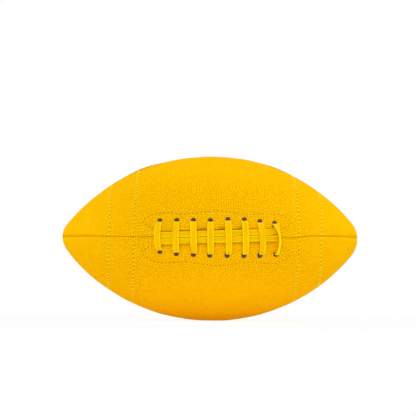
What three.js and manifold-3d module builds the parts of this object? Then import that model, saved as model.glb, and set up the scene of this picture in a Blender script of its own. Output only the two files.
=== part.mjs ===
// An American football: four sewn cover panels over fabric linings, laced shut over a tongue,
// round a rubber bladder with a needle valve.
// Millimetres, +Z up, +X along the ball to the right, the lacing faces -Y.
// The origin is on the surface that the ball rests on, below the middle of the ball's axis.

import * as THREE from "three";
import { mergeVertices } from "three/addons/utils/BufferGeometryUtils.js";
import Module from "manifold-3d";

const wasm = await Module();
wasm.setup();

// Ball
const LENGTH = 280; // nose to nose
const GIRTH_DIAMETER = 155.6; // across the widest place
const WIDEST_AT = 1; // the widest place, right of the middle of the length
const LEFT_NOSE_RADIUS = 20.5;
const RIGHT_NOSE_RADIUS = 25;
const NOSE_PIT = 1.6; // radius of the pit where the four panel points meet
const REST_FLAT = 0.4; // how far the ball's weight flattens it where it rests

// Layers, from the outside in
const COVER = 2.2;
const LINING = 1;
const FACING = 1.5;
const TONGUE = 1.2;
const BLADDER = 1.2;
const CLEARANCE = 0.3; // between pieces that touch on the real ball

// Seams
const SEAM_GAP = 0.5; // between neighbouring panels
const SEAM_SHOULDER = 1.8; // from a seam's middle to where the rolled edge meets the panel's face
const SEAM_DIP = 0.9; // how far the rolled edge goes down at the seam
const SEAM_THREAD = 0.8; // diameter
const THREAD_ROOM = 1.2; // between a seam's thread and the linings beside it

// Stripe bands on the two lace panels, placed from the middle of the lacing
const PATTERN_AT = 4.6; // the middle of the lacing, right of the middle of the length
const STRIPE_END = 40; // from a nose to the stitched row nearer it, the mean of the two ends
const STRIPE_WIDTH = 24; // from stitched row to stitched row
const STRIPE = 0.8; // thickness of a band
const STRIPE_JOINT = 1.2; // width of the groove that a stitched row lies in
const STRIPE_THREAD = 0.6; // diameter

// Lacing
const CROSS_LACES = 8;
const LACE_PITCH = 15.05; // from one cross lace to the next
const LACE_WIDTH = 6;
const LACE_THICKNESS = 2;
const LACE_EDGE = 0.6; // how far the lace's edges are rounded off
const LACE_GAP = 0.5; // between two runs of the lace
const PASS_GAP = 1; // between two runs that share a hole, at the cover
const LACE_BEND = 2.4; // how far from a hole the lace starts to bend into it
const LACE_TURN = 6; // how far from a corner a long strand starts to turn
const LACE_LEAD = 5; // straight run on the inside before the lace slants off
const LACE_RAMP = 3; // along which a cross lace climbs on to the long strands
const LACE_TAIL = 8; // loose end left on the inside
const INNER_SLACK = 0.7; // between the facings and the lace's inner runs
const END_BOW = 4.5; // how far the first and last cross laces bow out
const HOLE_ROW = 16.1; // from the seam to the holes at the middle of the lacing
const HOLE_DRAW = 2; // how much nearer the seam the end holes lie
const HOLE_SLACK = 0.4; // round the lace in its hole
const HOLE_CORNER = 0.7; // how far a hole's corners are cut off

// Stitched outline of the facings, from the middle of the lacing and from the seam
const FACING_END = 68;
const FACING_END_HEIGHT = 14;
const FACING_NECK = 58; // where the stitching comes back to the seam
const FACING_NECK_HEIGHT = 7.3;
const FACING_SHOULDER = 54;
const FACING_SHOULDER_HEIGHT = 22;
const FACING_WAIST = 26;
const FACING_WAIST_HEIGHT = 21.4;
const FACING_CROWN_HEIGHT = 24.6;
const FACING_MARGIN = 2; // of the facing outside its stitching
const FACING_SETBACK = 1.2; // from the seam to the facing
const FACING_THREAD = 0.5; // diameter

// Tongue
const TONGUE_LENGTH = 132;
const TONGUE_WIDTH = 34;

// Valve, in the rear upper panel
const VALVE_FROM_SEAM = 22; // along the cover from the rear seam
const VALVE_STEM_RADIUS = 4.6;
const VALVE_FLANGE_RADIUS = 9;
const VALVE_FLANGE = 1.6; // thickness
const VALVE_BARREL = 13; // length below the flange
const VALVE_WALL = 2; // round the core
const VALVE_FLOOR = 1.5; // below the core
const VALVE_SINK = 0.5; // how far the valve's top lies below the cover
const NEEDLE_RADIUS = 0.9; // of the needle's guide and of the air hole

// Facets
const NOSE_STEPS = 3; // along each nose
const CAP_STEPS = 2; // from a nose to a stripe
const STRIPE_STEPS = 2; // across a stripe
const BELLY_STEPS = 4; // from a stripe to the widest place
const PANEL_STEPS = 6; // round each panel between its rolled edges
const BEND_STEPS = 3; // in each square bend of the lace
const LACE_STEP = 6; // longest step along the lace
const STITCH_STEPS = 44; // along a facing's stitching
const FACING_FACETS = 3; // of a panel that a facing lies behind
const TONGUE_STEPS = 12; // along the tongue
const TONGUE_FACETS = 2; // of each panel that the tongue lies behind
const STEEP = 0.7; // sine of the angle to the ball's normal below which the lace runs in or out
const ROUND_STEPS = 16; // round the valve
const MERGE = 1e-3; // points nearer than this are one point
const EDGE_SHARE = 0.25; // most of a panel that a rolled edge takes up, near the noses
const TURN_SHARE = 0.98; // most of a straight run that the turns at its ends take up

const QUARTER = Math.PI / 2;
const GIRTH_RADIUS = GIRTH_DIAMETER / 2;
const STRIPE_INNER = LENGTH / 2 - STRIPE_END - STRIPE_WIDTH; // from the lacing's middle to a stripe

// Depths below the ball's outer surface
const LINING_TOP = COVER + CLEARANCE;
const LINING_FLOOR = LINING_TOP + LINING;
const FACING_TOP = LINING_FLOOR + CLEARANCE;
const FACING_FLOOR = FACING_TOP + FACING;
const FACET = (QUARTER - (2 * SEAM_SHOULDER) / GIRTH_RADIUS) / PANEL_STEPS;
const FACET_SAG = GIRTH_RADIUS * (1 - Math.cos(FACET / 2)); // of a facet below the round surface
const UNDER_RUN = FACING_FLOOR + FACET_SAG + INNER_SLACK + LACE_THICKNESS / 2;
const DEEP_RUN = UNDER_RUN + LACE_THICKNESS + LACE_GAP;
const TONGUE_TOP = DEEP_RUN + LACE_THICKNESS / 2 + CLEARANCE;
const TONGUE_FLOOR = TONGUE_TOP + TONGUE;
const BLADDER_TOP = LINING_TOP + Math.max(LINING, SEAM_THREAD) + CLEARANCE;
const BLADDER_DENT = TONGUE_FLOOR + CLEARANCE - BLADDER_TOP; // pressed in behind the tongue
const DENT_MARGIN = FACET * GIRTH_RADIUS; // of the full dent round the tongue
const DENT_RUNOUT = 25; // along which the dent fades out

// Materials
const leather = new THREE.MeshStandardMaterial({ color: "#f8b803", roughness: 0.55 });
const stripeLeather = new THREE.MeshStandardMaterial({ color: "#fabc03", roughness: 0.55 });
const laceVinyl = new THREE.MeshStandardMaterial({ color: "#fccb0a", roughness: 0.5 });
const yellowThread = new THREE.MeshStandardMaterial({ color: "#f0cd19", roughness: 0.7 });
const darkThread = new THREE.MeshStandardMaterial({ color: "#8a5a08", roughness: 0.8 });
const canvas = new THREE.MeshStandardMaterial({ color: "#d8d2c2", roughness: 0.95 });
const navyBacking = new THREE.MeshStandardMaterial({ color: "#2d2a34", roughness: 0.9 });
const rubber = new THREE.MeshStandardMaterial({ color: "#1c1b1b", roughness: 0.7 });

// One half of the ball's profile: a large arc over the belly that runs into a small one at the nose.
// A point on it is given by the angle of its normal, from 0 at the widest place to a right angle.
function halfProfile(reach, noseRadius) {
  const noseCentre = reach - noseRadius;
  const squares = noseCentre ** 2 + GIRTH_RADIUS ** 2 - noseRadius ** 2;
  const bellyRadius = squares / (2 * (GIRTH_RADIUS - noseRadius));
  const joinAngle = Math.asin(noseCentre / (bellyRadius - noseRadius));
  return { noseRadius, noseCentre, bellyRadius, joinAngle };
}

const leftHalf = halfProfile(LENGTH / 2 + WIDEST_AT, LEFT_NOSE_RADIUS);
const rightHalf = halfProfile(LENGTH / 2 - WIDEST_AT, RIGHT_NOSE_RADIUS);

function halfOn(side) {
  return side < 0 ? leftHalf : rightHalf;
}

// A station on the profile: its place along the ball, its radius and its outward normal.
function station(side, angle) {
  const half = halfOn(side);
  const onNose = angle > half.joinAngle;
  const arc = onNose ? half.noseRadius : half.bellyRadius;
  const along = arc * Math.sin(angle) + (onNose ? half.noseCentre : 0);
  const radius = arc * Math.cos(angle) - (onNose ? 0 : half.bellyRadius - GIRTH_RADIUS);
  return {
    x: WIDEST_AT + side * along,
    radius,
    normalX: side * Math.sin(angle),
    normalR: Math.cos(angle),
  };
}

function angleAt(side, along) {
  const half = halfOn(side);
  if (along > half.bellyRadius * Math.sin(half.joinAngle)) {
    return Math.asin((along - half.noseCentre) / half.noseRadius);
  }
  return Math.asin(along / half.bellyRadius);
}

function stationAt(x) {
  const side = x < WIDEST_AT ? -1 : 1;
  return station(side, angleAt(side, Math.abs(x - WIDEST_AT)));
}

// The point at a depth below a station, at an angle round the ball from the lacing towards +Z.
function pointAt(at, round, depth) {
  const radius = at.radius - depth * at.normalR;
  const x = at.x - depth * at.normalX;
  return new THREE.Vector3(x, -radius * Math.cos(round), radius * Math.sin(round));
}

function normalAt(at, round) {
  return new THREE.Vector3(
    at.normalX,
    -at.normalR * Math.cos(round),
    at.normalR * Math.sin(round),
  );
}

// Even steps from one value to another, both ends included.
function steps(from, to, count) {
  return Array.from({ length: count + 1 }, (_, i) => from + ((to - from) * i) / count);
}

// The stations of one half, from its pit to the widest place. Each carries whether it lies in a
// stripe's recess, and the recess's two ends come twice, once outside it and once inside.
function halfStations(side) {
  const half = halfOn(side);
  const fromWidest = (offset) => side * (PATTERN_AT + side * offset - WIDEST_AT);
  const joint = STRIPE_JOINT / 2;
  const outer = angleAt(side, fromWidest(STRIPE_INNER + STRIPE_WIDTH + joint));
  const inner = angleAt(side, fromWidest(STRIPE_INNER - joint));
  const pit = Math.acos(NOSE_PIT / half.noseRadius);
  const plain = (angles) => angles.map((angle) => ({ ...station(side, angle), recess: false }));
  const sunk = (angles) => angles.map((angle) => ({ ...station(side, angle), recess: true }));
  return [
    ...plain(steps(pit, half.joinAngle, NOSE_STEPS)),
    ...plain(steps(half.joinAngle, outer, CAP_STEPS).slice(1)),
    ...sunk(steps(outer, inner, STRIPE_STEPS)),
    ...plain(steps(inner, 0, BELLY_STEPS)),
  ];
}

const recessedMeridian = [...halfStations(-1), ...halfStations(1).reverse().slice(1)];
const meridian = recessedMeridian.filter((at) => !at.recess);
const innerMeridian = meridian.slice(1, -1);

// Angles round one panel from its first seam to its second: an edge, the facets between the
// rolled edges and the other edge. The rolled edges' own lines are left in if asked.
function panelAngles(radius, edge, withShoulders) {
  const shoulder = Math.min(SEAM_SHOULDER / radius, QUARTER * EDGE_SHARE);
  const facets = steps(shoulder, QUARTER - shoulder, PANEL_STEPS);
  const kept = withShoulders ? facets : facets.slice(1, -1);
  const start = Math.min(edge / radius, withShoulders ? shoulder / 2 : shoulder + FACET / 2);
  return [start, ...kept, QUARTER - start];
}

// A closed geometry from triangles, without those that have collapsed to a line.
function closed(triangles) {
  const apart = (a, b) => a.distanceTo(b) > MERGE;
  const kept = triangles.filter(([a, b, c]) => apart(a, b) && apart(b, c) && apart(c, a));
  const positions = kept.flat().flatMap((point) => point.toArray());
  const geometry = new THREE.BufferGeometry();
  geometry.setAttribute("position", new THREE.Float32BufferAttribute(positions, 3));
  return geometry;
}

function quad(a, b, c, d) {
  return [
    [a, b, c],
    [a, c, d],
  ];
}

// A curved sheet between two grids of points, whose rows run along +X and columns round the ball.
function sheet(outer, inner) {
  const rows = outer.length - 1;
  const columns = outer[0].length - 1;
  const faces = [];
  for (let i = 0; i < rows; i++) {
    for (let j = 0; j < columns; j++) {
      faces.push(...quad(outer[i][j], outer[i + 1][j], outer[i + 1][j + 1], outer[i][j + 1]));
      faces.push(...quad(inner[i][j], inner[i][j + 1], inner[i + 1][j + 1], inner[i + 1][j]));
    }
    faces.push(...quad(outer[i][0], inner[i][0], inner[i + 1][0], outer[i + 1][0]));
    faces.push(
      ...quad(outer[i][columns], outer[i + 1][columns], inner[i + 1][columns], inner[i][columns]),
    );
  }
  for (let j = 0; j < columns; j++) {
    faces.push(...quad(outer[0][j], outer[0][j + 1], inner[0][j + 1], inner[0][j]));
    faces.push(
      ...quad(outer[rows][j], inner[rows][j], inner[rows][j + 1], outer[rows][j + 1]),
    );
  }
  return closed(faces);
}

function grid(stations, anglesOf, depthOf) {
  return stations.map((at) =>
    anglesOf(at).map((round, column, all) =>
      pointAt(at, round, depthOf(at, column === 0 || column === all.length - 1)),
    ),
  );
}

// A tube along a path of points with the ball's normal at each. The section's points are across
// and along the normal. Where the path goes steeply in or out, its width lies along the ball.
function sweep(path, section) {
  let across = null;
  const rings = path.map(({ point, normal }, i) => {
    const before = path[Math.max(i - 1, 0)].point;
    const after = path[Math.min(i + 1, path.length - 1)].point;
    const ahead = after.clone().sub(before).normalize();
    const level = normal.clone().cross(ahead);
    const steep = level.length() < STEEP;
    const wanted = steep ? new THREE.Vector3(1, 0, 0) : level;
    wanted.addScaledVector(ahead, -wanted.dot(ahead)).normalize();
    across = across && wanted.dot(across) < 0 ? wanted.negate() : wanted;
    const up = ahead.clone().cross(across);
    return section.map(([wide, high]) =>
      point.clone().addScaledVector(across, wide).addScaledVector(up, high),
    );
  });
  const sides = section.length;
  const faces = [];
  for (let i = 0; i + 1 < rings.length; i++) {
    for (let k = 0; k < sides; k++) {
      const next = (k + 1) % sides;
      faces.push(...quad(rings[i][k], rings[i][next], rings[i + 1][next], rings[i + 1][k]));
    }
  }
  const last = rings[rings.length - 1];
  for (let k = 1; k + 1 < sides; k++) {
    faces.push([rings[0][0], rings[0][k + 1], rings[0][k]]);
    faces.push([last[0], last[k], last[k + 1]]);
  }
  return { geometry: closed(faces), rings };
}

function threadSection(diameter) {
  const r = diameter / 2;
  return [
    [r, 0],
    [0, r],
    [-r, 0],
    [0, -r],
  ];
}

function solidOf(geometry) {
  const bare = geometry.index ? geometry.toNonIndexed() : geometry.clone();
  bare.deleteAttribute("normal");
  bare.deleteAttribute("uv");
  const merged = mergeVertices(bare, MERGE);
  return new wasm.Manifold(
    new wasm.Mesh({
      numProp: 3,
      vertProperties: merged.attributes.position.array,
      triVerts: new Uint32Array(merged.index.array),
    }),
  );
}

function geometryOf(solid) {
  const mesh = solid.getMesh();
  const geometry = new THREE.BufferGeometry();
  geometry.setAttribute("position", new THREE.BufferAttribute(mesh.vertProperties, 3));
  geometry.setIndex(new THREE.BufferAttribute(mesh.triVerts, 1));
  return geometry;
}

function cut(geometry, cutters) {
  const left = cutters.reduce((solid, cutter) => solid.subtract(solidOf(cutter)), solidOf(geometry));
  return geometryOf(left);
}

function common(geometry, other) {
  return geometryOf(solidOf(geometry).intersect(solidOf(other)));
}

const ball = new THREE.Group();
ball.position.z = GIRTH_RADIUS - REST_FLAT;
const football = new THREE.Group();
football.add(ball);

function add(name, geometry, material) {
  const mesh = new THREE.Mesh(geometry, material);
  mesh.name = name;
  ball.add(mesh);
  return mesh;
}

// The holes for the lace, in pairs along the lacing, counted from the left.
function laceHole(index, side) {
  const share = (2 * index) / (CROSS_LACES - 1) - 1;
  const x = PATTERN_AT + (share * LACE_PITCH * (CROSS_LACES - 1)) / 2;
  return { x, arc: side * (HOLE_ROW - HOLE_DRAW * share ** 2) };
}

function roundedRectangle(width, height, corner) {
  const x = width / 2;
  const y = height / 2;
  const shape = new THREE.Shape();
  shape.absarc(x - corner, corner - y, corner, -QUARTER, 0);
  shape.absarc(x - corner, y - corner, corner, 0, QUARTER);
  shape.absarc(corner - x, y - corner, corner, QUARTER, Math.PI);
  shape.absarc(corner - x, corner - y, corner, Math.PI, Math.PI + QUARTER);
  return shape;
}

function clippedRectangle(width, height, corner) {
  const x = width / 2;
  const y = height / 2;
  const quarter = [
    [x, y - corner],
    [x - corner, y],
  ];
  const half = [...quarter, ...quarter.map(([a, b]) => [-a, b]).reverse()];
  const points = [...half, ...half.map(([a, b]) => [-a, -b])];
  return new THREE.Shape(points.map(([a, b]) => new THREE.Vector2(a, b)));
}

function laceHoleCutter(index, side) {
  const { x, arc } = laceHole(index, side);
  const at = stationAt(x);
  const round = arc / at.radius;
  const wide = LACE_WIDTH + 2 * HOLE_SLACK;
  const high = 2 * LACE_THICKNESS + PASS_GAP + 2 * HOLE_SLACK;
  const depth = TONGUE_TOP;
  const geometry = new THREE.ExtrudeGeometry(clippedRectangle(wide, high, HOLE_CORNER), {
    depth: 2 * depth,
    bevelEnabled: false,
  });
  geometry.translate(0, 0, -depth);
  const up = normalAt(at, round);
  const around = new THREE.Vector3(0, Math.sin(round), Math.cos(round));
  const along = around.clone().cross(up);
  const place = new THREE.Matrix4().makeBasis(along, around, up).setPosition(pointAt(at, round, 0));
  return geometry.applyMatrix4(place);
}

function laceHoleCutters(side) {
  return Array.from({ length: CROSS_LACES }, (_, index) => laceHoleCutter(index, side));
}

// The valve's seat: a frame on the rear upper panel whose +Y looks out of the ball.
const valveStation = stationAt(PATTERN_AT);
const valveRound = Math.PI - VALVE_FROM_SEAM / valveStation.radius;
const valvePlace = new THREE.Group();
valvePlace.position.copy(pointAt(valveStation, valveRound, 0));
valvePlace.quaternion.setFromUnitVectors(
  new THREE.Vector3(0, 1, 0),
  normalAt(valveStation, valveRound),
);
valvePlace.updateMatrix();

function valveHoleCutter() {
  const radius = VALVE_STEM_RADIUS + CLEARANCE;
  const reach = BLADDER_TOP + BLADDER + FACET_SAG + CLEARANCE;
  const geometry = new THREE.CylinderGeometry(radius, radius, 2 * reach, ROUND_STEPS);
  return geometry.applyMatrix4(valvePlace.matrix);
}

// The flat that the ball rests on, cut from the two panels that meet at the bottom seam.
function restCutter() {
  const size = GIRTH_DIAMETER;
  const geometry = new THREE.BoxGeometry(size, size, size);
  return geometry.translate(0, 0, -size / 2 - GIRTH_RADIUS + REST_FLAT);
}

// The four panels, each from one seam round to the next, with their linings.
const QUARTERS = [
  { name: "front_upper", from: 0, laced: 1, valve: false, rests: false },
  { name: "rear_upper", from: QUARTER, laced: 0, valve: true, rests: false },
  { name: "rear_lower", from: 2 * QUARTER, laced: 0, valve: false, rests: true },
  { name: "front_lower", from: 3 * QUARTER, laced: -1, valve: false, rests: true },
];

function addPanel({ name, from, laced, valve, rests }) {
  const anglesOf = (at) =>
    panelAngles(at.radius, SEAM_GAP / 2, true).map((angle) => from + angle);
  const stations = laced ? recessedMeridian : meridian;
  const recess = STRIPE + CLEARANCE;
  const outer = grid(
    stations,
    anglesOf,
    (at, edge) => (edge ? SEAM_DIP : 0) + (at.recess ? recess : 0),
  );
  const inner = grid(stations, anglesOf, () => COVER);
  const cutters = [
    ...(laced ? laceHoleCutters(laced) : []),
    ...(valve ? [valveHoleCutter()] : []),
    ...(rests ? [restCutter()] : []),
  ];
  add(`${name}_panel`, cut(sheet(outer, inner), cutters), leather);
}

function addLining({ name, from, laced, valve }) {
  const edge = SEAM_THREAD / 2 + THREAD_ROOM;
  const anglesOf = (at) => panelAngles(at.radius, edge, false).map((angle) => from + angle);
  const outer = grid(innerMeridian, anglesOf, () => LINING_TOP);
  const inner = grid(innerMeridian, anglesOf, () => LINING_FLOOR);
  const cutters = [
    ...(laced ? laceHoleCutters(laced) : []),
    ...(valve ? [valveHoleCutter()] : []),
  ];
  add(`${name}_lining`, cut(sheet(outer, inner), cutters), canvas);
}

QUARTERS.forEach(addPanel);
QUARTERS.forEach(addLining);

// A thread laid along stations of one seam, below the panels' edges.
function addSeamThread(name, round, stations) {
  const depth = COVER + CLEARANCE + SEAM_THREAD / 2;
  const path = stations.map((at) => ({
    point: pointAt(at, round, depth),
    normal: normalAt(at, round),
  }));
  add(name, sweep(path, threadSection(SEAM_THREAD)).geometry, yellowThread);
}

addSeamThread(
  "front_left_seam_thread",
  0,
  innerMeridian.filter((at) => at.x < PATTERN_AT - FACING_NECK),
);
addSeamThread(
  "front_right_seam_thread",
  0,
  innerMeridian.filter((at) => at.x > PATTERN_AT + FACING_NECK),
);
addSeamThread("top_seam_thread", QUARTER, innerMeridian);
addSeamThread("rear_seam_thread", 2 * QUARTER, innerMeridian);
addSeamThread("bottom_seam_thread", 3 * QUARTER, innerMeridian);

// The stripe bands, let into the lace panels, and the stitched rows along their two edges.
function stripeStations(side, start, end) {
  return steps(start, end, STRIPE_STEPS)
    .map((offset) => stationAt(PATTERN_AT + side * offset))
    .sort((a, b) => a.x - b.x);
}

function addStripe(sideName, side, { name, from }) {
  const joint = STRIPE_JOINT / 2;
  const stations = stripeStations(side, STRIPE_INNER + joint, STRIPE_INNER + STRIPE_WIDTH - joint);
  const anglesOf = (at) =>
    panelAngles(at.radius, SEAM_GAP / 2, true).map((angle) => from + angle);
  const outer = grid(stations, anglesOf, (at, edge) => (edge ? SEAM_DIP : 0));
  const inner = grid(stations, anglesOf, (at, edge) => (edge ? SEAM_DIP : 0) + STRIPE);
  add(`${sideName}_stripe_${name}`, sheet(outer, inner), stripeLeather);
  const rows = { inner: STRIPE_INNER, outer: STRIPE_INNER + STRIPE_WIDTH };
  for (const [row, offset] of Object.entries(rows)) {
    const at = stationAt(PATTERN_AT + side * offset);
    const depth = STRIPE - STRIPE_THREAD / 2;
    const path = anglesOf(at).slice(1, -1).map((round) => ({
      point: pointAt(at, round, depth),
      normal: normalAt(at, round),
    }));
    const thread = sweep(path, threadSection(STRIPE_THREAD)).geometry;
    add(`${sideName}_${row}_stitching_${name}`, thread, yellowThread);
  }
}

const lacedQuarters = QUARTERS.filter(({ laced }) => laced !== 0);
for (const quarter of lacedQuarters) {
  addStripe("left", -1, quarter);
  addStripe("right", 1, quarter);
}

// The facings' stitched outline on one side of the lacing, grown outwards by a margin.
function facingLine(grow) {
  const half = [
    [FACING_NECK + grow, FACING_NECK_HEIGHT],
    [FACING_END + grow, FACING_END_HEIGHT],
    [FACING_SHOULDER + grow, FACING_SHOULDER_HEIGHT + grow],
    [FACING_WAIST, FACING_WAIST_HEIGHT + grow],
  ];
  const left = half.map(([x, y]) => new THREE.Vector2(-x, y));
  const right = half.map(([x, y]) => new THREE.Vector2(x, y)).reverse();
  const crown = new THREE.Vector2(0, FACING_CROWN_HEIGHT + grow);
  return new THREE.SplineCurve([...left, crown, ...right]);
}

// How far a facet of the cover lies below the round surface at an angle round the ball.
function facetDepth(radius, round) {
  const shoulder = SEAM_SHOULDER / radius;
  const step = (QUARTER - 2 * shoulder) / PANEL_STEPS;
  const into = (Math.abs(round) - shoulder) / step;
  const middle = (into - Math.floor(into) - 0.5) * step;
  return radius * (1 - Math.cos(step / 2) / Math.cos(middle));
}

function addFacing({ name, from, laced }) {
  const reach = FACING_END + FACING_MARGIN + FACING_FLOOR;
  const stations = steps(PATTERN_AT - reach, PATTERN_AT + reach, 2 * BELLY_STEPS).map(stationAt);
  const anglesOf = (at) => {
    const facets = panelAngles(at.radius, FACING_SETBACK, false).slice(0, FACING_FACETS + 1);
    return laced > 0 ? facets : facets.map((angle) => -angle).reverse();
  };
  const outer = grid(stations, anglesOf, () => FACING_TOP);
  const inner = grid(stations, anglesOf, () => FACING_FLOOR);
  const line = facingLine(FACING_MARGIN);
  const outline = new THREE.Shape(line.getPoints(STITCH_STEPS / 2));
  const ends = [FACING_NECK + FACING_MARGIN, -FACING_NECK - FACING_MARGIN];
  ends.forEach((x) => outline.lineTo(x, 0));
  const blank = new THREE.ExtrudeGeometry(outline, { depth: GIRTH_DIAMETER, bevelEnabled: false });
  blank.rotateX(QUARTER);
  blank.translate(PATTERN_AT, 0, 0);
  if (laced < 0) {
    blank.rotateX(Math.PI);
    blank.translate(0, -GIRTH_DIAMETER, 0);
  }
  const patch = common(sheet(outer, inner), blank);
  add(`${name}_lace_facing`, cut(patch, laceHoleCutters(laced)), navyBacking);

  const stitches = facingLine(0).getSpacedPoints(STITCH_STEPS);
  const path = stitches.map(({ x, y }) => {
    const at = stationAt(PATTERN_AT + x);
    const round = laced * Math.asin(y / at.radius);
    const depth = facetDepth(at.radius, round) - FACING_THREAD / 2 - CLEARANCE / 2;
    return { point: pointAt(at, round, depth), normal: normalAt(at, round) };
  });
  add(`${name}_facing_stitching`, sweep(path, threadSection(FACING_THREAD)).geometry, darkThread);
}

lacedQuarters.forEach(addFacing);

// The tongue, a strip with round ends under the lace's inner runs.
function addTongue() {
  const reach = TONGUE_LENGTH / 2 + TONGUE_FLOOR;
  const stations = steps(PATTERN_AT - reach, PATTERN_AT + reach, TONGUE_STEPS).map(stationAt);
  const anglesOf = (at) => {
    const facets = panelAngles(at.radius, 0, false).slice(1, TONGUE_FACETS + 1);
    return [...facets.map((angle) => -angle).reverse(), 0, ...facets];
  };
  const outer = grid(stations, anglesOf, () => TONGUE_TOP);
  const inner = grid(stations, anglesOf, () => TONGUE_FLOOR);
  const outline = roundedRectangle(TONGUE_LENGTH, TONGUE_WIDTH, TONGUE_WIDTH / 2);
  const blank = new THREE.ExtrudeGeometry(outline, {
    depth: GIRTH_DIAMETER,
    bevelEnabled: false,
    curveSegments: 4,
  });
  blank.rotateX(QUARTER);
  blank.translate(PATTERN_AT, 0, 0);
  add("tongue", common(sheet(outer, inner), blank), navyBacking);
}

addTongue();

// The bladder, pressed in behind the tongue and open where the valve goes through.
function bladderDepth(at, round) {
  const beside = Math.abs(Math.atan2(Math.sin(round), Math.cos(round))) * at.radius;
  const along = Math.abs(at.x - PATTERN_AT);
  const past = Math.max(beside - TONGUE_WIDTH / 2, along - TONGUE_LENGTH / 2) - DENT_MARGIN;
  const share = THREE.MathUtils.clamp(1 - past / DENT_RUNOUT, 0, 1);
  return BLADDER_TOP + BLADDER_DENT * share;
}

function bladderSkin(extraDepth) {
  const rings = meridian.map((at) =>
    QUARTERS.flatMap(({ from }) =>
      panelAngles(at.radius, 0, false).slice(0, -1).map((angle) => {
        const round = from + angle;
        return pointAt(at, round, bladderDepth(at, round) + extraDepth);
      }),
    ),
  );
  const inset = BLADDER_TOP + extraDepth;
  const leftPole = new THREE.Vector3(inset - LENGTH / 2, 0, 0);
  const rightPole = new THREE.Vector3(LENGTH / 2 - inset, 0, 0);
  const faces = [];
  const count = rings[0].length;
  for (let j = 0; j < count; j++) {
    const next = (j + 1) % count;
    for (let i = 0; i + 1 < rings.length; i++) {
      faces.push(...quad(rings[i][j], rings[i + 1][j], rings[i + 1][next], rings[i][next]));
    }
    const last = rings[rings.length - 1];
    faces.push([leftPole, rings[0][j], rings[0][next]]);
    faces.push([rightPole, last[next], last[j]]);
  }
  return closed(faces);
}

const bladder = cut(bladderSkin(0), [bladderSkin(BLADDER)]);
add("bladder", cut(bladder, [valveHoleCutter()]), rubber);

// The valve: a stem through the cover with a flange inside the bladder, and a soft core in it.
function lathe(points) {
  return new THREE.LatheGeometry(
    points.map(([radius, height]) => new THREE.Vector2(radius, height)),
    ROUND_STEPS,
  );
}

function addValve() {
  const curve = VALVE_FLANGE_RADIUS ** 2 / (2 * (GIRTH_RADIUS - BLADDER_TOP));
  const flangeTop = -(BLADDER_TOP + BLADDER + FACET_SAG + curve + CLEARANCE);
  const flangeFloor = flangeTop - VALVE_FLANGE;
  const bottom = flangeFloor - VALVE_BARREL;
  const bore = VALVE_STEM_RADIUS - VALVE_WALL;
  const seat = bottom + VALVE_FLOOR;
  const body = add(
    "valve_body",
    lathe([
      [bore, -VALVE_SINK],
      [bore, seat],
      [NEEDLE_RADIUS, seat],
      [NEEDLE_RADIUS, bottom],
      [VALVE_STEM_RADIUS, bottom],
      [VALVE_STEM_RADIUS, flangeFloor],
      [VALVE_FLANGE_RADIUS, flangeFloor],
      [VALVE_FLANGE_RADIUS, flangeTop],
      [VALVE_STEM_RADIUS, flangeTop],
      [VALVE_STEM_RADIUS, -VALVE_SINK],
      [bore, -VALVE_SINK],
    ]),
    rubber,
  );
  const coreRadius = bore - CLEARANCE;
  const coreTop = -VALVE_SINK - CLEARANCE;
  const core = add(
    "valve_core",
    lathe([
      [0, seat + CLEARANCE],
      [coreRadius, seat + CLEARANCE],
      [coreRadius, coreTop],
      [NEEDLE_RADIUS, coreTop],
      [0, coreTop - NEEDLE_RADIUS],
    ]),
    rubber,
  );
  valvePlace.add(body, core);
  ball.add(valvePlace);
}

addValve();

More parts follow.
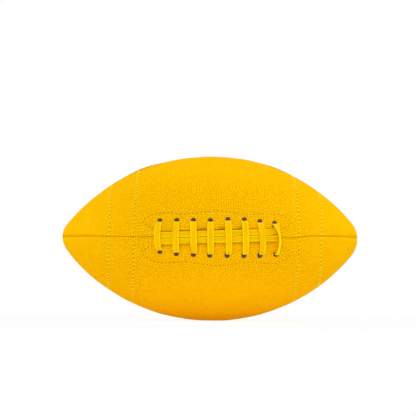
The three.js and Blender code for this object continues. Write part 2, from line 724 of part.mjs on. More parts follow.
// The lace's route as corners: a place along the ball, an arc from the seam, a height over the
// cover and how far from the corner the lace starts to turn.
function laceCorners() {
  const low = CLEARANCE + LACE_THICKNESS / 2;
  const high = low + LACE_THICKNESS + LACE_GAP;
  const pass = (LACE_THICKNESS + PASS_GAP) / 2;
  const strand = (LACE_WIDTH + LACE_GAP) / 2;
  const rampHead = strand + LACE_WIDTH / 2 + LACE_GAP * 2;
  const rampFoot = rampHead + LACE_RAMP;
  const last = CROSS_LACES - 1;
  const corners = [];
  const corner = (x, arc, height, turn) => corners.push({ x, arc, height, turn });
  // A hole has two places for the lace: near the seam, and away from it where a second run passes.
  const near = (index, side) => laceHole(index, side).arc - side * pass;
  const far = (index, side) => laceHole(index, side).arc + side * pass;
  const holeX = (index) => laceHole(index, 1).x;

  function endCross(index, bow) {
    corner(holeX(index), far(index, -1), high, LACE_BEND);
    corner(holeX(index) + bow, 0, high, LACE_TURN);
    corner(holeX(index), far(index, 1), high, LACE_BEND);
  }
  function cross(index) {
    corner(holeX(index), near(index, -1), low, LACE_BEND);
    corner(holeX(index), -rampFoot, low, LACE_GAP * 2);
    corner(holeX(index), -rampHead, high, LACE_GAP * 2);
    corner(holeX(index), rampHead, high, LACE_GAP * 2);
    corner(holeX(index), rampFoot, low, LACE_GAP * 2);
    corner(holeX(index), near(index, 1), low, LACE_BEND);
  }
  function slant(index, endArc, depth) {
    const next = index + 1;
    corner(holeX(index), near(index, 1), -depth, LACE_BEND);
    corner(holeX(index), near(index, 1) - LACE_LEAD, -depth, LACE_BEND);
    corner(holeX(next), endArc + LACE_LEAD, -depth, LACE_BEND);
    corner(holeX(next), endArc, -depth, LACE_BEND);
  }

  // The left end: a tail, the first cross lace, and a deep run back under it to the lower strand.
  corner(holeX(0), far(0, -1) - LACE_TAIL, -UNDER_RUN, 0);
  corner(holeX(0), far(0, -1), -UNDER_RUN, LACE_BEND);
  endCross(0, -END_BOW);
  corner(holeX(0), far(0, 1), -DEEP_RUN, LACE_BEND);
  corner(holeX(0), near(0, -1), -DEEP_RUN, LACE_BEND);
  // The lower strand to the right, across on the inside, and the upper strand to the left.
  corner(holeX(0), near(0, -1), low, LACE_BEND);
  corner(holeX(0), -strand, low, LACE_TURN);
  corner(holeX(last), -strand, low, LACE_TURN);
  corner(holeX(last), near(last, -1), low, LACE_BEND);
  corner(holeX(last), near(last, -1), -UNDER_RUN, LACE_BEND);
  corner(holeX(last), near(last, 1), -UNDER_RUN, LACE_BEND);
  corner(holeX(last), near(last, 1), low, LACE_BEND);
  corner(holeX(last), strand, low, LACE_TURN);
  corner(holeX(0), strand, low, LACE_TURN);
  corner(holeX(0), near(0, 1), low, LACE_BEND);
  // The other cross laces from left to right, each joined to the next by a slanting inner run.
  for (let index = 1; index < last; index++) {
    slant(index - 1, near(index, -1), UNDER_RUN);
    cross(index);
  }
  slant(last - 1, far(last, -1), DEEP_RUN);
  endCross(last, END_BOW);
  corner(holeX(last), far(last, 1), -UNDER_RUN, LACE_BEND);
  corner(holeX(last), far(last, 1) + LACE_TAIL, -UNDER_RUN, 0);
  return corners;
}

// The route as points: straight runs, with a curve at each corner that leaves room for the next.
function lacePath(corners) {
  const places = corners.map(({ x, arc, height }) => new THREE.Vector3(x, arc, height));
  const turns = corners.map(({ turn }) => turn);
  const runs = places.slice(1).map((place, i) => place.distanceTo(places[i]));
  const room = runs.map((run, i) => Math.min(1, (TURN_SHARE * run) / (turns[i] + turns[i + 1])));
  const route = new THREE.CurvePath();
  let start = places[0];
  for (let i = 1; i + 1 < places.length; i++) {
    const turn = turns[i] * Math.min(room[i - 1], room[i]);
    const enter = places[i].clone().lerp(places[i - 1], turn / runs[i - 1]);
    const leave = places[i].clone().lerp(places[i + 1], turn / runs[i]);
    route.add(new THREE.LineCurve3(start, enter));
    route.add(new THREE.QuadraticBezierCurve3(enter, places[i], leave));
    start = leave;
  }
  route.add(new THREE.LineCurve3(start, places[places.length - 1]));
  const points = route.curves.flatMap((curve, i) => {
    const straight = curve.isLineCurve3;
    const turned = curve.getTangent(0).angleTo(curve.getTangent(1));
    const bends = Math.max(1, Math.round((BEND_STEPS * turned) / QUARTER));
    const count = straight ? Math.ceil(curve.getLength() / LACE_STEP) : bends;
    return curve.getPoints(count).slice(i === 0 ? 0 : 1);
  });
  return points.map(({ x, y, z }) => {
    const at = stationAt(x);
    const round = y / at.radius;
    return { point: pointAt(at, round, -z), normal: normalAt(at, round) };
  });
}

// The least gap between two runs of the lace, measured on points spread over its faces.
function leastGap(rings) {
  const spacing = 1;
  const samples = [];
  let along = 0;
  for (let i = 0; i + 1 < rings.length; i++) {
    const length = rings[i][0].distanceTo(rings[i + 1][0]);
    const count = Math.max(1, Math.ceil(length / spacing));
    for (let k = 0; k < count; k++) {
      const ring = rings[i].map((point, c) => point.clone().lerp(rings[i + 1][c], k / count));
      const sides = ring.map((point, c) => [point, ring[(c + 1) % ring.length]]);
      for (const [from, to] of sides) {
        const parts = Math.ceil(from.distanceTo(to) / spacing);
        for (let p = 0; p < parts; p++) {
          samples.push({ point: from.clone().lerp(to, p / parts), along: along + (length * k) / count });
        }
      }
    }
    along += length;
  }
  const cells = new Map();
  const cellOf = (value) => Math.floor(value / (2 * spacing));
  const keyOf = (a, b, c) => `${a},${b},${c}`;
  for (const sample of samples) {
    const key = keyOf(...sample.point.toArray().map(cellOf));
    cells.set(key, [...(cells.get(key) ?? []), sample]);
  }
  const near = [-1, 0, 1];
  let least = 2 * spacing;
  for (const { point, along: place } of samples) {
    const [a, b, c] = point.toArray().map(cellOf);
    for (const i of near) {
      for (const j of near) {
        for (const k of near) {
          for (const other of cells.get(keyOf(a + i, b + j, c + k)) ?? []) {
            const apart = Math.abs(other.along - place);
            if (apart > 2 * LACE_WIDTH) least = Math.min(least, point.distanceTo(other.point));
          }
        }
      }
    }
  }
  return least;
}

function addLace() {
  const wide = LACE_WIDTH / 2;
  const high = LACE_THICKNESS / 2;
  const flat = wide - LACE_EDGE;
  const section = [
    [wide, 0],
    [flat, high],
    [-flat, high],
    [-wide, 0],
    [-flat, -high],
    [flat, -high],
  ];
  const { geometry, rings } = sweep(lacePath(laceCorners()), section);
  add("lace", geometry, laceVinyl);
  console.log(`least gap of the lace to itself: ${leastGap(rings).toFixed(2)} mm`);
}

addLace();

export default football;
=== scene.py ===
"""A laced football of pebbled synthetic leather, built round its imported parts.

Metres, +Z up, +X along the ball to the right, the lacing faces -Y.
A place on the ball is given by x along it, by the turn round it from the lacing towards +Z,
and by a depth below its plain outer surface.
"""

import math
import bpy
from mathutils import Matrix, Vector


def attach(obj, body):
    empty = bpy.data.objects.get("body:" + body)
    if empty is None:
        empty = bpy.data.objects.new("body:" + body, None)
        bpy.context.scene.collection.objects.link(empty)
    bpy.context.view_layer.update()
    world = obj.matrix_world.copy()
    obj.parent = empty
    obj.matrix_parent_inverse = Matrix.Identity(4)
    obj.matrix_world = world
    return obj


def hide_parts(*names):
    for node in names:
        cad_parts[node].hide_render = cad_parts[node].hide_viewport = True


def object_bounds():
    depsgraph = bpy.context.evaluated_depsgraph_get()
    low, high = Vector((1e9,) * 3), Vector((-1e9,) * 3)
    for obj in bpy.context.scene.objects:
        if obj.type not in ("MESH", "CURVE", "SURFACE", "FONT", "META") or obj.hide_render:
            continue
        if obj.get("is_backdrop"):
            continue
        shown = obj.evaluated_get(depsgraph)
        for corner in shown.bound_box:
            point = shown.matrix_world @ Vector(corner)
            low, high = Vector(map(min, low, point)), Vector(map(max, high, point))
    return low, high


bl_info = {
    "name": "Laced Football",
    "version": (1, 0, 0),
    "blender": (4, 5, 0),
    "location": "View3D > Sidebar > Football",
    "description": "Builds the cover, stripes, stitching, lace and valve of a football round its frame",
    "category": "Add Mesh",
}

import bpy
import numpy as np
from mathutils import Matrix, Vector

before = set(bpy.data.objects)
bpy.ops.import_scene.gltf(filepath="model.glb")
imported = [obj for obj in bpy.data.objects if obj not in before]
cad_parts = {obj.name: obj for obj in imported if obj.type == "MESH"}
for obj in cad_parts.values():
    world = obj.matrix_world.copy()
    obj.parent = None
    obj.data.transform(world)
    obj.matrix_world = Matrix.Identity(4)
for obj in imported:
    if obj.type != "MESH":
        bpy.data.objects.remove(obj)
CAD_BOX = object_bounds()

MM = 0.001
QUARTER = math.pi / 2
BODY = "root"


# Properties

def linear(hex_colour):
    """The linear value of an sRGB hex colour such as "#f8b803"."""
    channels = [int(hex_colour[i:i + 2], 16) / 255 for i in (1, 3, 5)]
    return tuple(c / 12.92 if c <= 0.04045 else ((c + 0.055) / 1.055) ** 2.4 for c in channels)


def size(name, description, millimetres):
    """A length that a user may change, given in millimetres and kept in metres."""
    return bpy.props.FloatProperty(
        name=name,
        description=description,
        default=millimetres * MM,
        precision=5,
        subtype="DISTANCE",
        unit="LENGTH",
    )


def angle(name, description, degrees):
    """An angle that a user may change, given in degrees and kept in radians."""
    return bpy.props.FloatProperty(
        name=name,
        description=description,
        default=math.radians(degrees),
        subtype="ANGLE",
        unit="ROTATION",
    )


def colour(name, description, hex_colour):
    """A colour that a user may change."""
    return bpy.props.FloatVectorProperty(
        name=name,
        description=description,
        default=linear(hex_colour),
        size=3,
        min=0,
        max=1,
        subtype="COLOR",
    )


class BallSizes(bpy.types.PropertyGroup):
    """Sizes of the ball and of its sewn cover."""

    length: size("Length", "Nose to nose", 280)
    girth: size("Girth diameter", "Across the widest place", 155.6)
    widest_at: size("Widest at", "The widest place, right of the middle of the length", 1)
    left_nose: size("Left nose radius", "Roundness of the left nose", 20.5)
    right_nose: size("Right nose radius", "Roundness of the right nose", 25)
    nose_pit: size("Nose pit", "Radius of the pit where the four panel points meet", 1)
    rest_flat: size("Rest flat", "How far the ball's weight flattens it where it rests", 0.4)
    cover: size("Cover thickness", "Thickness of the panels", 2.2)
    seam_gap: size("Seam gap", "Between neighbouring panels", 0.12)
    seam_roll: size("Seam roll", "Width of the rolled edge beside a seam", 2.2)
    seam_dip: size("Seam dip", "How far a rolled edge goes down at its seam", 0.75)
    seam_stitch: size("Seam stitch", "Pitch of the hidden stitches that pucker a seam", 4.2)
    seam_pucker: size("Seam pucker", "How far a seam's stitches draw the cover in", 0.16)
    nose_crease: size("Nose crease", "Extra width of the rolled edges at the noses", 2.4)
    nose_dip: size("Nose dip", "Extra depth of the seams at the noses", 0.75)


class StripeSizes(bpy.types.PropertyGroup):
    """Sizes of the stripe bands and of their stitching."""

    left_inner: size("Left stripe place", "From the middle of the lacing to the left stripe", 75.4)
    left_width: size("Left stripe width", "From stitched row to stitched row", 24.2)
    right_inner: size("Right stripe place", "From the middle of the lacing to the right stripe", 74.65)
    right_width: size("Right stripe width", "From stitched row to stitched row", 23.15)
    thickness: size("Stripe thickness", "Thickness of a band", 0.8)
    recess: size("Stripe recess", "How deep the bands are let into the cover", 1.1)
    joint: size("Stripe joint", "Gap between a band and the cover", 0.3)
    joint_roll: size("Joint roll", "Width of the rounded edges beside a joint", 0.7)
    joint_dip: size("Joint dip", "How far those edges go down", 0.4)
    draw: size("Stitch draw", "How far a stitched row draws the cover in", 0.4)
    skew: angle("Skew", "How far the left stripes lean in towards the top", 1.1)
    left_bow: size("Left bow", "How far the left stripes' inner edges bow away from the lacing", 2.6)
    right_bow: size("Right bow", "How far the right stripes' inner edges bow away from the lacing", 2.9)
    left_sweep: size("Left sweep", "How far the left stripes' inner edges sweep out at the bottom", 2.2)
    pitch: size("Stitch pitch", "From stitch to stitch along a row", 3.9)
    stitch: size("Stitch length", "Length of a slanted stitch", 3.3)
    thread: size("Stitch thread", "Diameter of the thread", 1.35)
    slant: angle("Stitch slant", "Between a stitch and its row", 60)


class LacingSizes(bpy.types.PropertyGroup):
    """Sizes of the lacing and of the facings' stitching."""

    at: size("Lacing place", "The middle of the lacing, right of the middle of the length", 4.6)
    pitch: size("Lace pitch", "From one cross lace to the next", 15.05)
    width: size("Lace width", "Width of the flat lace", 6.1)
    thickness: size("Lace thickness", "Thickness of the flat lace", 2)
    hole_width: size("Hole width", "Of a lace hole along the ball", 4.3)
    hole_height: size("Hole height", "Of a lace hole round the ball", 4.6)
    strand_lift: size("Strand lift", "How far above the middle the long strands meet", 0.4)
    strand_rise: size("Strand rise", "How much higher the strands meet at the right end", 1.85)
    trough: size("Trough", "How deep the long strands lie in the cover", 1.5)
    stitch_pitch: size("Facing stitch pitch", "From stitch to stitch round the lacing", 3.8)
    stitch: size("Facing stitch length", "Length of a stitch round the lacing", 0.6)
    thread: size("Facing thread", "Diameter of the thread", 0.9)


class FootballColours(bpy.types.PropertyGroup):
    """Colours of the materials."""

    cover: colour("Cover", "Tops of the leather's pebbles", "#fec804")
    cover_valley: colour("Cover valleys", "Between the leather's pebbles", "#eaa200")
    # Painted shade, mixed into the leather in the seams, above them at the noses and beside the lace
    # strands
    painted_shade: colour("Creases", "Shaded leather in seams and joints", "#9c6404")
    lace: colour("Lace", "Flat of the lace", "#f4be04")
    # Painted highlight on the lace's raised edges
    lace_edge_highlight: colour("Lace edges", "Raised edges of the lace", "#ffdc06")
    lace_line: colour("Lace lines", "Fine lines that the die draws along the lace", "#c49a0c")
    # Painted shade, multiplied into the lace where it lies low: the long strands in their trough and the
    # runs into the holes
    lace_low_shade: colour("Dulled lace", "What handling takes from the long strands", "#fafcd8")
    thread: colour("Stripe thread", "Thread of the stripes", "#f6de12")
    facing_thread: colour("Facing thread", "Thread round the lacing", "#947010")
    # Raw leather at the needle holes and the valve's hole, darker than the cover as painted shade in the
    # needle holes
    raw_leather_and_hole_shade: colour("Needle holes", "Pierced leather", "#dc9e06")
    canvas: colour("Lining", "Woven lining", "#d8d2c2")
    backing: colour("Backing", "Facings, tongue and the walls of the lace holes", "#746160")
    rubber: colour("Rubber", "Bladder and valve", "#1c1b1b")


# Node helpers

def fill(tree, node, inputs):
    """Fills a node's inputs, each with a value, a socket, or a node whose first live output it takes."""
    for name, value in inputs.items():
        socket = node.inputs[name]
        if isinstance(value, bpy.types.Node):
            value = next(output for output in value.outputs if output.enabled)
        if isinstance(value, bpy.types.NodeSocket):
            tree.links.new(value, socket)
        elif socket.type == "RGBA":
            socket.default_value = (*value, 1)
        else:
            socket.default_value = value


def put(tree, kind, inputs=None, **settings):
    """Adds a node with its settings and inputs. Numbered inputs of a Map Range are its value (0), the
    range that it comes from (1, 2) and the range that it goes to (3, 4), and those of a Mix its share
    (0), its two numbers (2, 3) or its two colours (6, 7)."""
    made = tree.nodes.new(kind)
    for name, value in settings.items():
        setattr(made, name, value)
    fill(tree, made, inputs or {})
    return made


# Materials. Each function gives the inputs of its material's shader.

SKIN_MAP = "skin"  # a leather piece's UV map: metres along the ball and round it
PEBBLE = 2.25  # millimetres from pebble to pebble
PEBBLE_TOP = 0.3  # share of a pebble from its edge to where its top is full
PEBBLE_HEIGHT = 0.24 * MM
WANDER_LENGTH = 11  # millimetres over which the rows of pebbles wander
WANDER = 3.5 * MM  # how far they wander
PATCH = 14  # millimetres across the patches of deeper and paler leather
PATCH_TONES = (0.5, 0.8)  # of those patches, between the colours of the valleys and of the tops
GRAIN_FULL_AT = (0, 0, 84 * MM)  # where the leather's grain is strongest, just above the lacing
# How far from there along and above it the grain starts to weaken, where it is weakest, and what is left of
# it
GRAIN_FADE = {"X": (55 * MM, 132 * MM, 0.35), "Z": (30 * MM, 60 * MM, 0.6)}
EDGE_HIGHLIGHT_BAND = (1.2 * MM, 2.8 * MM)  # from the lace's middle, where the painted highlight on its raised edges starts and is full
DIE_LINE = 0.9  # millimetres from line to line that the die draws along the lace
DIE_STRETCH = 0.03  # of those lines, so that they run on along the lace
DIE_HEIGHT = 0.12 * MM
STREAK = 0.3  # by how much those lines lighten or darken the lace
NOISE = {1: 0.3, 2: 0.7}  # the range in which a noise mostly lies, as inputs of a Map Range
DARK_LINES = {1: 0.44, 2: 0.3, 3: 0, 4: 0.7}  # and where it lies low enough for a dark line on the lace
WAVES = 3  # waves to a unit of a wave texture at scale 1


def made_once(build):
    """A material named after its function, which is built the first time that it is asked for."""
    def material_for(colours):
        made = bpy.data.materials.get(build.__name__)
        if made is None:
            made = bpy.data.materials.new(build.__name__)
            made.use_nodes = True
            tree = made.node_tree
            fill(tree, tree.nodes["Principled BSDF"], build(colours, tree))
        return made
    return material_for


def per_metre(millimetres):
    """The texture scale at which one cell or wave is that many millimetres long."""
    return 1 / (millimetres * MM)


# Embossed polyurethane leather: a matt skin of round pebbles that catch the light, with a deeper
# colour in the valleys between them, its grain weaker towards the noses and away from the lacing, and
# with painted shade in its seams and beside the lace. The pebbles are drawn a little coarser than real ones
# so that they show.
@made_once
def embossed_pebble_leather(colours, tree):
    place = put(tree, "ShaderNodeTexCoord").outputs["Object"]
    on_skin = put(tree, "ShaderNodeUVMap", uv_map=SKIN_MAP)
    waves = {"Vector": on_skin, "Scale": per_metre(WANDER_LENGTH), "Detail": 1}
    rows = put(tree, "ShaderNodeTexNoise", waves)
    shift = {0: rows.outputs["Color"], 1: (WANDER,) * 3, 2: on_skin}
    shifted = put(tree, "ShaderNodeVectorMath", shift, operation="MULTIPLY_ADD")
    cells = put(
        tree,
        "ShaderNodeTexVoronoi",
        {"Vector": shifted, "Scale": per_metre(PEBBLE), "Randomness": 0.88},
        voronoi_dimensions="2D",
        feature="DISTANCE_TO_EDGE",
    )
    pebble = put(tree, "ShaderNodeMapRange", {0: cells, 2: PEBBLE_TOP}, interpolation_type="SMOOTHSTEP")
    # The pebbles' colour pattern and bump weaken away from there, towards the noses, the top and the bottom
    from_full_grain = put(tree, "ShaderNodeVectorMath", {0: place, 1: GRAIN_FULL_AT}, operation="SUBTRACT")
    apart = put(tree, "ShaderNodeVectorMath", {0: from_full_grain}, operation="ABSOLUTE")
    away = put(tree, "ShaderNodeSeparateXYZ", {0: apart}).outputs
    kept = [
        put(
            tree,
            "ShaderNodeMapRange",
            {0: away[axis], 1: spared, 2: faded, 3: 1, 4: left},
            interpolation_type="SMOOTHSTEP",
        )
        for axis, (spared, faded, left) in GRAIN_FADE.items()
    ]
    relief = put(tree, "ShaderNodeMath", dict(enumerate(kept)), operation="MULTIPLY")
    patches = put(tree, "ShaderNodeTexNoise", {"Vector": place, "Scale": per_metre(PATCH), "Detail": 3})
    low, high = PATCH_TONES
    tone = put(tree, "ShaderNodeMapRange", {0: patches, **NOISE, 3: low, 4: high})
    grain = put(tree, "ShaderNodeMix", {0: relief, 2: tone, 3: pebble}, data_type="FLOAT")
    tops = {0: grain, 6: colours.cover_valley, 7: colours.cover}
    skin = put(tree, "ShaderNodeMix", tops, data_type="RGBA")
    # Painted shade in the seams and beside the lace strands, mixed over the skin
    painted_shade = put(tree, "ShaderNodeAttribute", attribute_name="painted_shade").outputs["Fac"]
    bumps = {"Strength": relief, "Distance": PEBBLE_HEIGHT, "Height": pebble}
    return {
        "Base Color": put(tree, "ShaderNodeMix", {0: painted_shade, 6: skin, 7: colours.painted_shade}, data_type="RGBA"),
        "Roughness": put(tree, "ShaderNodeMapRange", {0: pebble, 3: 0.72, 4: 0.5}),
        "Normal": put(tree, "ShaderNodeBump", bumps),
        "Specular IOR Level": 0.002,
        "Specular Tint": colours.cover,
    }


# Extruded vinyl lace: smooth and a little glossy, with fine lines drawn along it by the die, a painted
# highlight on its two raised edges, and painted shade where it lies low, most on the long strands.
@made_once
def extruded_vinyl_lace(colours, tree):
    across, along, low_shade = (
        put(tree, "ShaderNodeAttribute", attribute_name=name).outputs["Fac"]
        for name in ("across", "along", "low_shade")
    )
    beside = put(tree, "ShaderNodeMath", {0: across}, operation="ABSOLUTE")
    # Painted highlight on the lace's two raised edges
    start, full = EDGE_HIGHLIGHT_BAND
    edge_highlight = put(tree, "ShaderNodeMapRange", {0: beside, 1: start, 2: full}, interpolation_type="SMOOTHSTEP")
    drawn = put(tree, "ShaderNodeMath", {0: along, 1: DIE_STRETCH}, operation="MULTIPLY")
    place = put(tree, "ShaderNodeCombineXYZ", {0: across, 1: drawn})
    lines = put(tree, "ShaderNodeTexNoise", {"Vector": place, "Scale": per_metre(DIE_LINE), "Detail": 2})
    streak = put(tree, "ShaderNodeMapRange", {0: lines, **NOISE, 3: -STREAK, 4: STREAK})
    light = put(tree, "ShaderNodeMath", {0: edge_highlight, 1: streak}, operation="ADD", use_clamp=True)
    flat = put(tree, "ShaderNodeMix", {0: light, 6: colours.lace, 7: colours.lace_edge_highlight}, data_type="RGBA")
    dark = put(tree, "ShaderNodeMapRange", {0: lines, **DARK_LINES})
    lined = put(tree, "ShaderNodeMix", {0: dark, 6: flat, 7: colours.lace_line}, data_type="RGBA")
    # Painted shade multiplied in where the lace lies low
    shaded_lace = {0: low_shade, 6: lined, 7: colours.lace_low_shade}
    return {
        "Base Color": put(tree, "ShaderNodeMix", shaded_lace, data_type="RGBA", blend_type="MULTIPLY"),
        "Roughness": put(tree, "ShaderNodeMapRange", {0: lines, 3: 0.36, 4: 0.52}),
        "Normal": put(tree, "ShaderNodeBump", {"Strength": 0.5, "Distance": DIE_HEIGHT, "Height": lines}),
        "Specular IOR Level": 0.12,
        "Specular Tint": colours.lace_edge_highlight,
    }


def two_toned(tree, pattern, rgb, dark, strength, height):
    """Inputs of a shader whose colour and height follow a pattern, from a dark share of the colour up
    to the whole of it. The height is in millimetres."""
    low = tuple(dark * channel for channel in rgb)
    bump = {"Strength": strength, "Distance": height * MM, "Height": pattern}
    return {
        "Base Color": put(tree, "ShaderNodeMix", {0: pattern, 6: low, 7: rgb}, data_type="RGBA"),
        "Normal": put(tree, "ShaderNodeBump", bump),
    }


def twisted_thread(tree, rgb, ply):
    """A thread of twisted plies: soft diagonal ridges, a ply apart in millimetres, each a little
    lighter than the groove, whose darker colour is painted shade."""
    place = put(tree, "ShaderNodeTexCoord").outputs["Object"]
    plies = put(
        tree,
        "ShaderNodeTexWave",
        {"Vector": place, "Scale": per_metre(ply) / WAVES, "Distortion": 1.5, "Detail": 1},
        bands_direction="DIAGONAL",
    ).outputs["Fac"]
    twist = two_toned(tree, plies, rgb, dark=0.85, strength=0.5, height=0.1)
    return {**twist, "Roughness": 0.6, "Specular IOR Level": 0.15}


# Twisted polyester thread in lime yellow: a low sheen, with ridges drawn coarser than real plies
# so that they show.
@made_once
def twisted_polyester_thread(colours, tree):
    return twisted_thread(tree, colours.thread, ply=1.1)


# Bonded nylon thread in olive brown: dull, sunk in the leather, with ridges drawn coarser than real
# plies so that they show.
@made_once
def bonded_nylon_thread(colours, tree):
    return twisted_thread(tree, colours.facing_thread, ply=0.9)


def mottled(tree, rgb, grain, dark, height):
    """A surface whose tone and height vary with a noise of one grain size, in millimetres."""
    place = put(tree, "ShaderNodeTexCoord").outputs["Object"]
    noise = put(tree, "ShaderNodeTexNoise", {"Vector": place, "Scale": per_metre(grain), "Detail": 3})
    return two_toned(tree, noise, rgb, dark, strength=0.6, height=height)


# Pierced leather: the raw brown of the needle holes and of the valve's hole, ragged and without gloss.
# On the flattened beads that stand for the needle holes, its darker colour is also painted shade.
@made_once
def pierced_leather_with_hole_shade(colours, tree):
    ragged = mottled(tree, colours.raw_leather_and_hole_shade, grain=0.8, dark=0.6, height=0.1)
    return {**ragged, "Roughness": 0.9, "Specular IOR Level": 0.1}


# Bonded fibre backing: a dark felted sheet, fuzzy and almost without gloss.
@made_once
def bonded_fibre_backing(colours, tree):
    felted = mottled(tree, colours.backing, grain=1.2, dark=0.5, height=0.15)
    return {**felted, "Roughness": 0.95, "Specular IOR Level": 0.1}


# Moulded butyl rubber: black with a faint bloom, satin from its mould.
@made_once
def moulded_butyl_rubber(colours, tree):
    bloom = mottled(tree, colours.rubber, grain=2.5, dark=0.6, height=0.08)
    return {**bloom, "Roughness": 0.6, "IOR": 1.52}


# Plain-woven cotton lining: two sets of threads that cross over and under, with painted shade
# between them, drawn coarser than real ones so that they show.
@made_once
def plain_woven_canvas(colours, tree):
    place = put(tree, "ShaderNodeTexCoord").outputs["Object"]
    threads = {"Vector": place, "Scale": per_metre(1.2) / WAVES, "Distortion": 0.4}
    weave = [
        put(tree, "ShaderNodeTexWave", threads, bands_direction=direction).outputs["Fac"]
        for direction in ("X", "Z")
    ]
    cross = put(tree, "ShaderNodeMath", dict(enumerate(weave)), operation="MULTIPLY")
    woven = two_toned(tree, cross, colours.canvas, dark=0.65, strength=0.6, height=0.2)
    return {**woven, "Roughness": 0.9}


# Shape of the ball

def smooth_step(low, high, value):
    """0 below low, 1 above high and an S-curve between them."""
    share = np.clip((value - low) / (high - low), 0, 1)
    return share * share * (3 - 2 * share)


def rolled(distance, reach, dip):
    """The depth of a rounded edge: dip at the edge itself, none from reach inwards."""
    share = np.clip(1 - distance / reach, 0, 1)
    return dip * (1 - np.sqrt(1 - share**2))


def bell(offset, reach):
    """1 where the offset is 0, falling away to both sides over a reach."""
    return np.exp(-((offset / reach) ** 2))


def angles_round(count):
    """Evenly spaced angles once round."""
    return np.linspace(0, 2 * math.pi, count, endpoint=False)


def stacked(*parts):
    """Points or directions from their parts along each axis."""
    return np.stack(np.broadcast_arrays(*parts), axis=-1)


class Half:
    """One half of the profile: a large arc over the belly that runs into a small one at the nose."""

    def __init__(self, reach, nose, girth_radius):
        self.nose = nose
        self.centre = reach - nose
        squares = self.centre**2 + girth_radius**2 - nose**2
        self.belly = squares / (2 * (girth_radius - nose))
        self.join = math.asin(self.centre / (self.belly - nose))


class Ball:
    """The ball's plain outer surface."""

    def __init__(self, sizes):
        self.radius = sizes.girth / 2
        self.axis = self.radius - sizes.rest_flat
        self.widest_at = sizes.widest_at
        self.half_length = sizes.length / 2
        self.pit = sizes.nose_pit
        self.left = Half(self.half_length + sizes.widest_at, sizes.left_nose, self.radius)
        self.right = Half(self.half_length - sizes.widest_at, sizes.right_nose, self.radius)

    def halves(self, left, *names):
        """Values of the left half where left is true, and of the right half elsewhere."""
        return [np.where(left, getattr(self.left, name), getattr(self.right, name)) for name in names]

    def profile(self, x):
        """The radius at x, and how much of the outward normal lies along and away from the axis."""
        offset = np.asarray(x, float) - self.widest_at
        left = offset < 0
        along = np.abs(offset)
        nose, centre, belly, join = self.halves(left, "nose", "centre", "belly", "join")
        on_nose = along > belly * np.sin(join)
        arc = np.where(on_nose, nose, belly)
        sine = np.clip((along - np.where(on_nose, centre, 0)) / arc, -1, 1)
        cosine = np.sqrt(1 - sine**2)
        radius = arc * cosine - np.where(on_nose, 0, belly - self.radius)
        return radius, np.where(left, -sine, sine), cosine

    def radius_at(self, x):
        """The radius at x."""
        return self.profile(x)[0]

    def skin(self, x, turn):
        """Metres along the surface from the widest place, and round it from the lacing."""
        radius, normal_x, _ = self.profile(x)
        left = normal_x < 0
        join, belly, nose = self.halves(left, "join", "belly", "nose")
        lean = np.arcsin(np.abs(normal_x))
        along = belly * np.minimum(lean, join) + nose * np.maximum(lean - join, 0)
        return stacked(np.where(left, -along, along), turn * radius)

    def point(self, x, turn, depth):
        """Points at a depth below the surface."""
        radius, normal_x, normal_r = self.profile(x)
        out = radius - depth * normal_r
        return stacked(x - depth * normal_x, -out * np.cos(turn), self.axis + out * np.sin(turn))

    def normal(self, x, turn):
        """Outward normals of the surface."""
        _, normal_x, normal_r = self.profile(x)
        return stacked(normal_x, -normal_r * np.cos(turn), normal_r * np.sin(turn))

    def around(self, turn):
        """Directions round the ball, from the lacing towards +Z."""
        return stacked(0, np.sin(turn), np.cos(turn))

    def nose_rows(self, side, count):
        """Places along one nose, from its pit to where the belly starts."""
        half = self.left if side < 0 else self.right
        angles = np.linspace(math.acos(self.pit / half.nose), half.join, count)
        return self.widest_at + side * (half.centre + half.nose * np.sin(angles))


# Lacing

# The lace holes from left to right, in mm: how far each is off its even place along the ball, and how
# far it is from the middle
UPPER_HOLES = (
    (-0.1, 14.7), (0.4, 14.95), (0.5, 15.15), (1.1, 14.95),
    (2.05, 16.1), (2.2, 16.1), (1.6, 14.6), (0.3, 13.1),
)
LOWER_HOLES = (
    (0.1, 13.6), (0.15, 15.45), (0.75, 16.2), (0.7, 16.85),
    (1.6, 16.9), (2, 16.95), (1.75, 16.85), (1.75, 15.55),
)
LAST = len(UPPER_HOLES) - 1
SHARED_ROOM = 2.6 * MM  # by which the last upper hole is longer, because a strand shares it
SLIT_WIDTH = 2.6 * MM  # of the openings that the other strands' ends go through
SLIT_SLACK = 0.4 * MM
LEFT_SLIT = -2 * MM  # from the first holes
RIGHT_SLIT = 4.2 * MM  # from the last holes
END_PAST = 4 * MM  # how far the trough runs on past the last holes
TROUGH_WALL_ABOVE = 1.2 * MM
TROUGH_WALL_BELOW = 4 * MM
SHADE_FADE = (18 * MM, 46 * MM)  # from the middle of the lacing, where the shade above it fades out
# Painted shade above and below the strands: share of its colour, distance from them and half width
SHADE_ABOVE = (0.75, 0.3 * MM, 0.6 * MM)
SHADE_BELOW = (0.14, 0.8 * MM, 1.7 * MM)
SHADE_SPOT_BESIDE = (1.2 * MM, 1.7 * MM)  # distance of the painted shade spots from the strands, and half width
# Those painted shade spots above the strands: along the ball from the middle of the lacing and half
# width in mm, and share of the painted shade colour
SHADE_SPOTS = ((-13.5, 5, 0.7), (4, 4, 0.65), (20.5, 3, 0.5))
STRAND_SHARE = 0.92  # width of the long strands, which are drawn tight, as a share of the lace's
LACE_GAP = 0.25 * MM
# Half of each facing's stitched outline in mm: along the ball from the middle of the lacing, and away
# from the middle of the front, from the outline's end to its crown
UPPER_FACING = ((59.5, 7.7), (68.3, 14.3), (59, 20.8), (46, 22.2), (27, 21.2), (1.5, 24.4))
LOWER_FACING = ((59.5, 8.5), (68.8, 14.4), (58, 23), (46, 24.4), (28, 23.2), (1, 26.6))
FACING_STEPS = 24  # points of that outline from corner to corner
HOLE_LEDGE = -0.3 * MM  # by which the backing in a lace hole reaches past the hole's middle
HOLE_DIMPLE = 0.45 * MM
HOLE_DIMPLE_REACH = 4 * MM
STITCH_DRAW = 0.2 * MM
STITCH_DRAW_REACH = 0.9 * MM


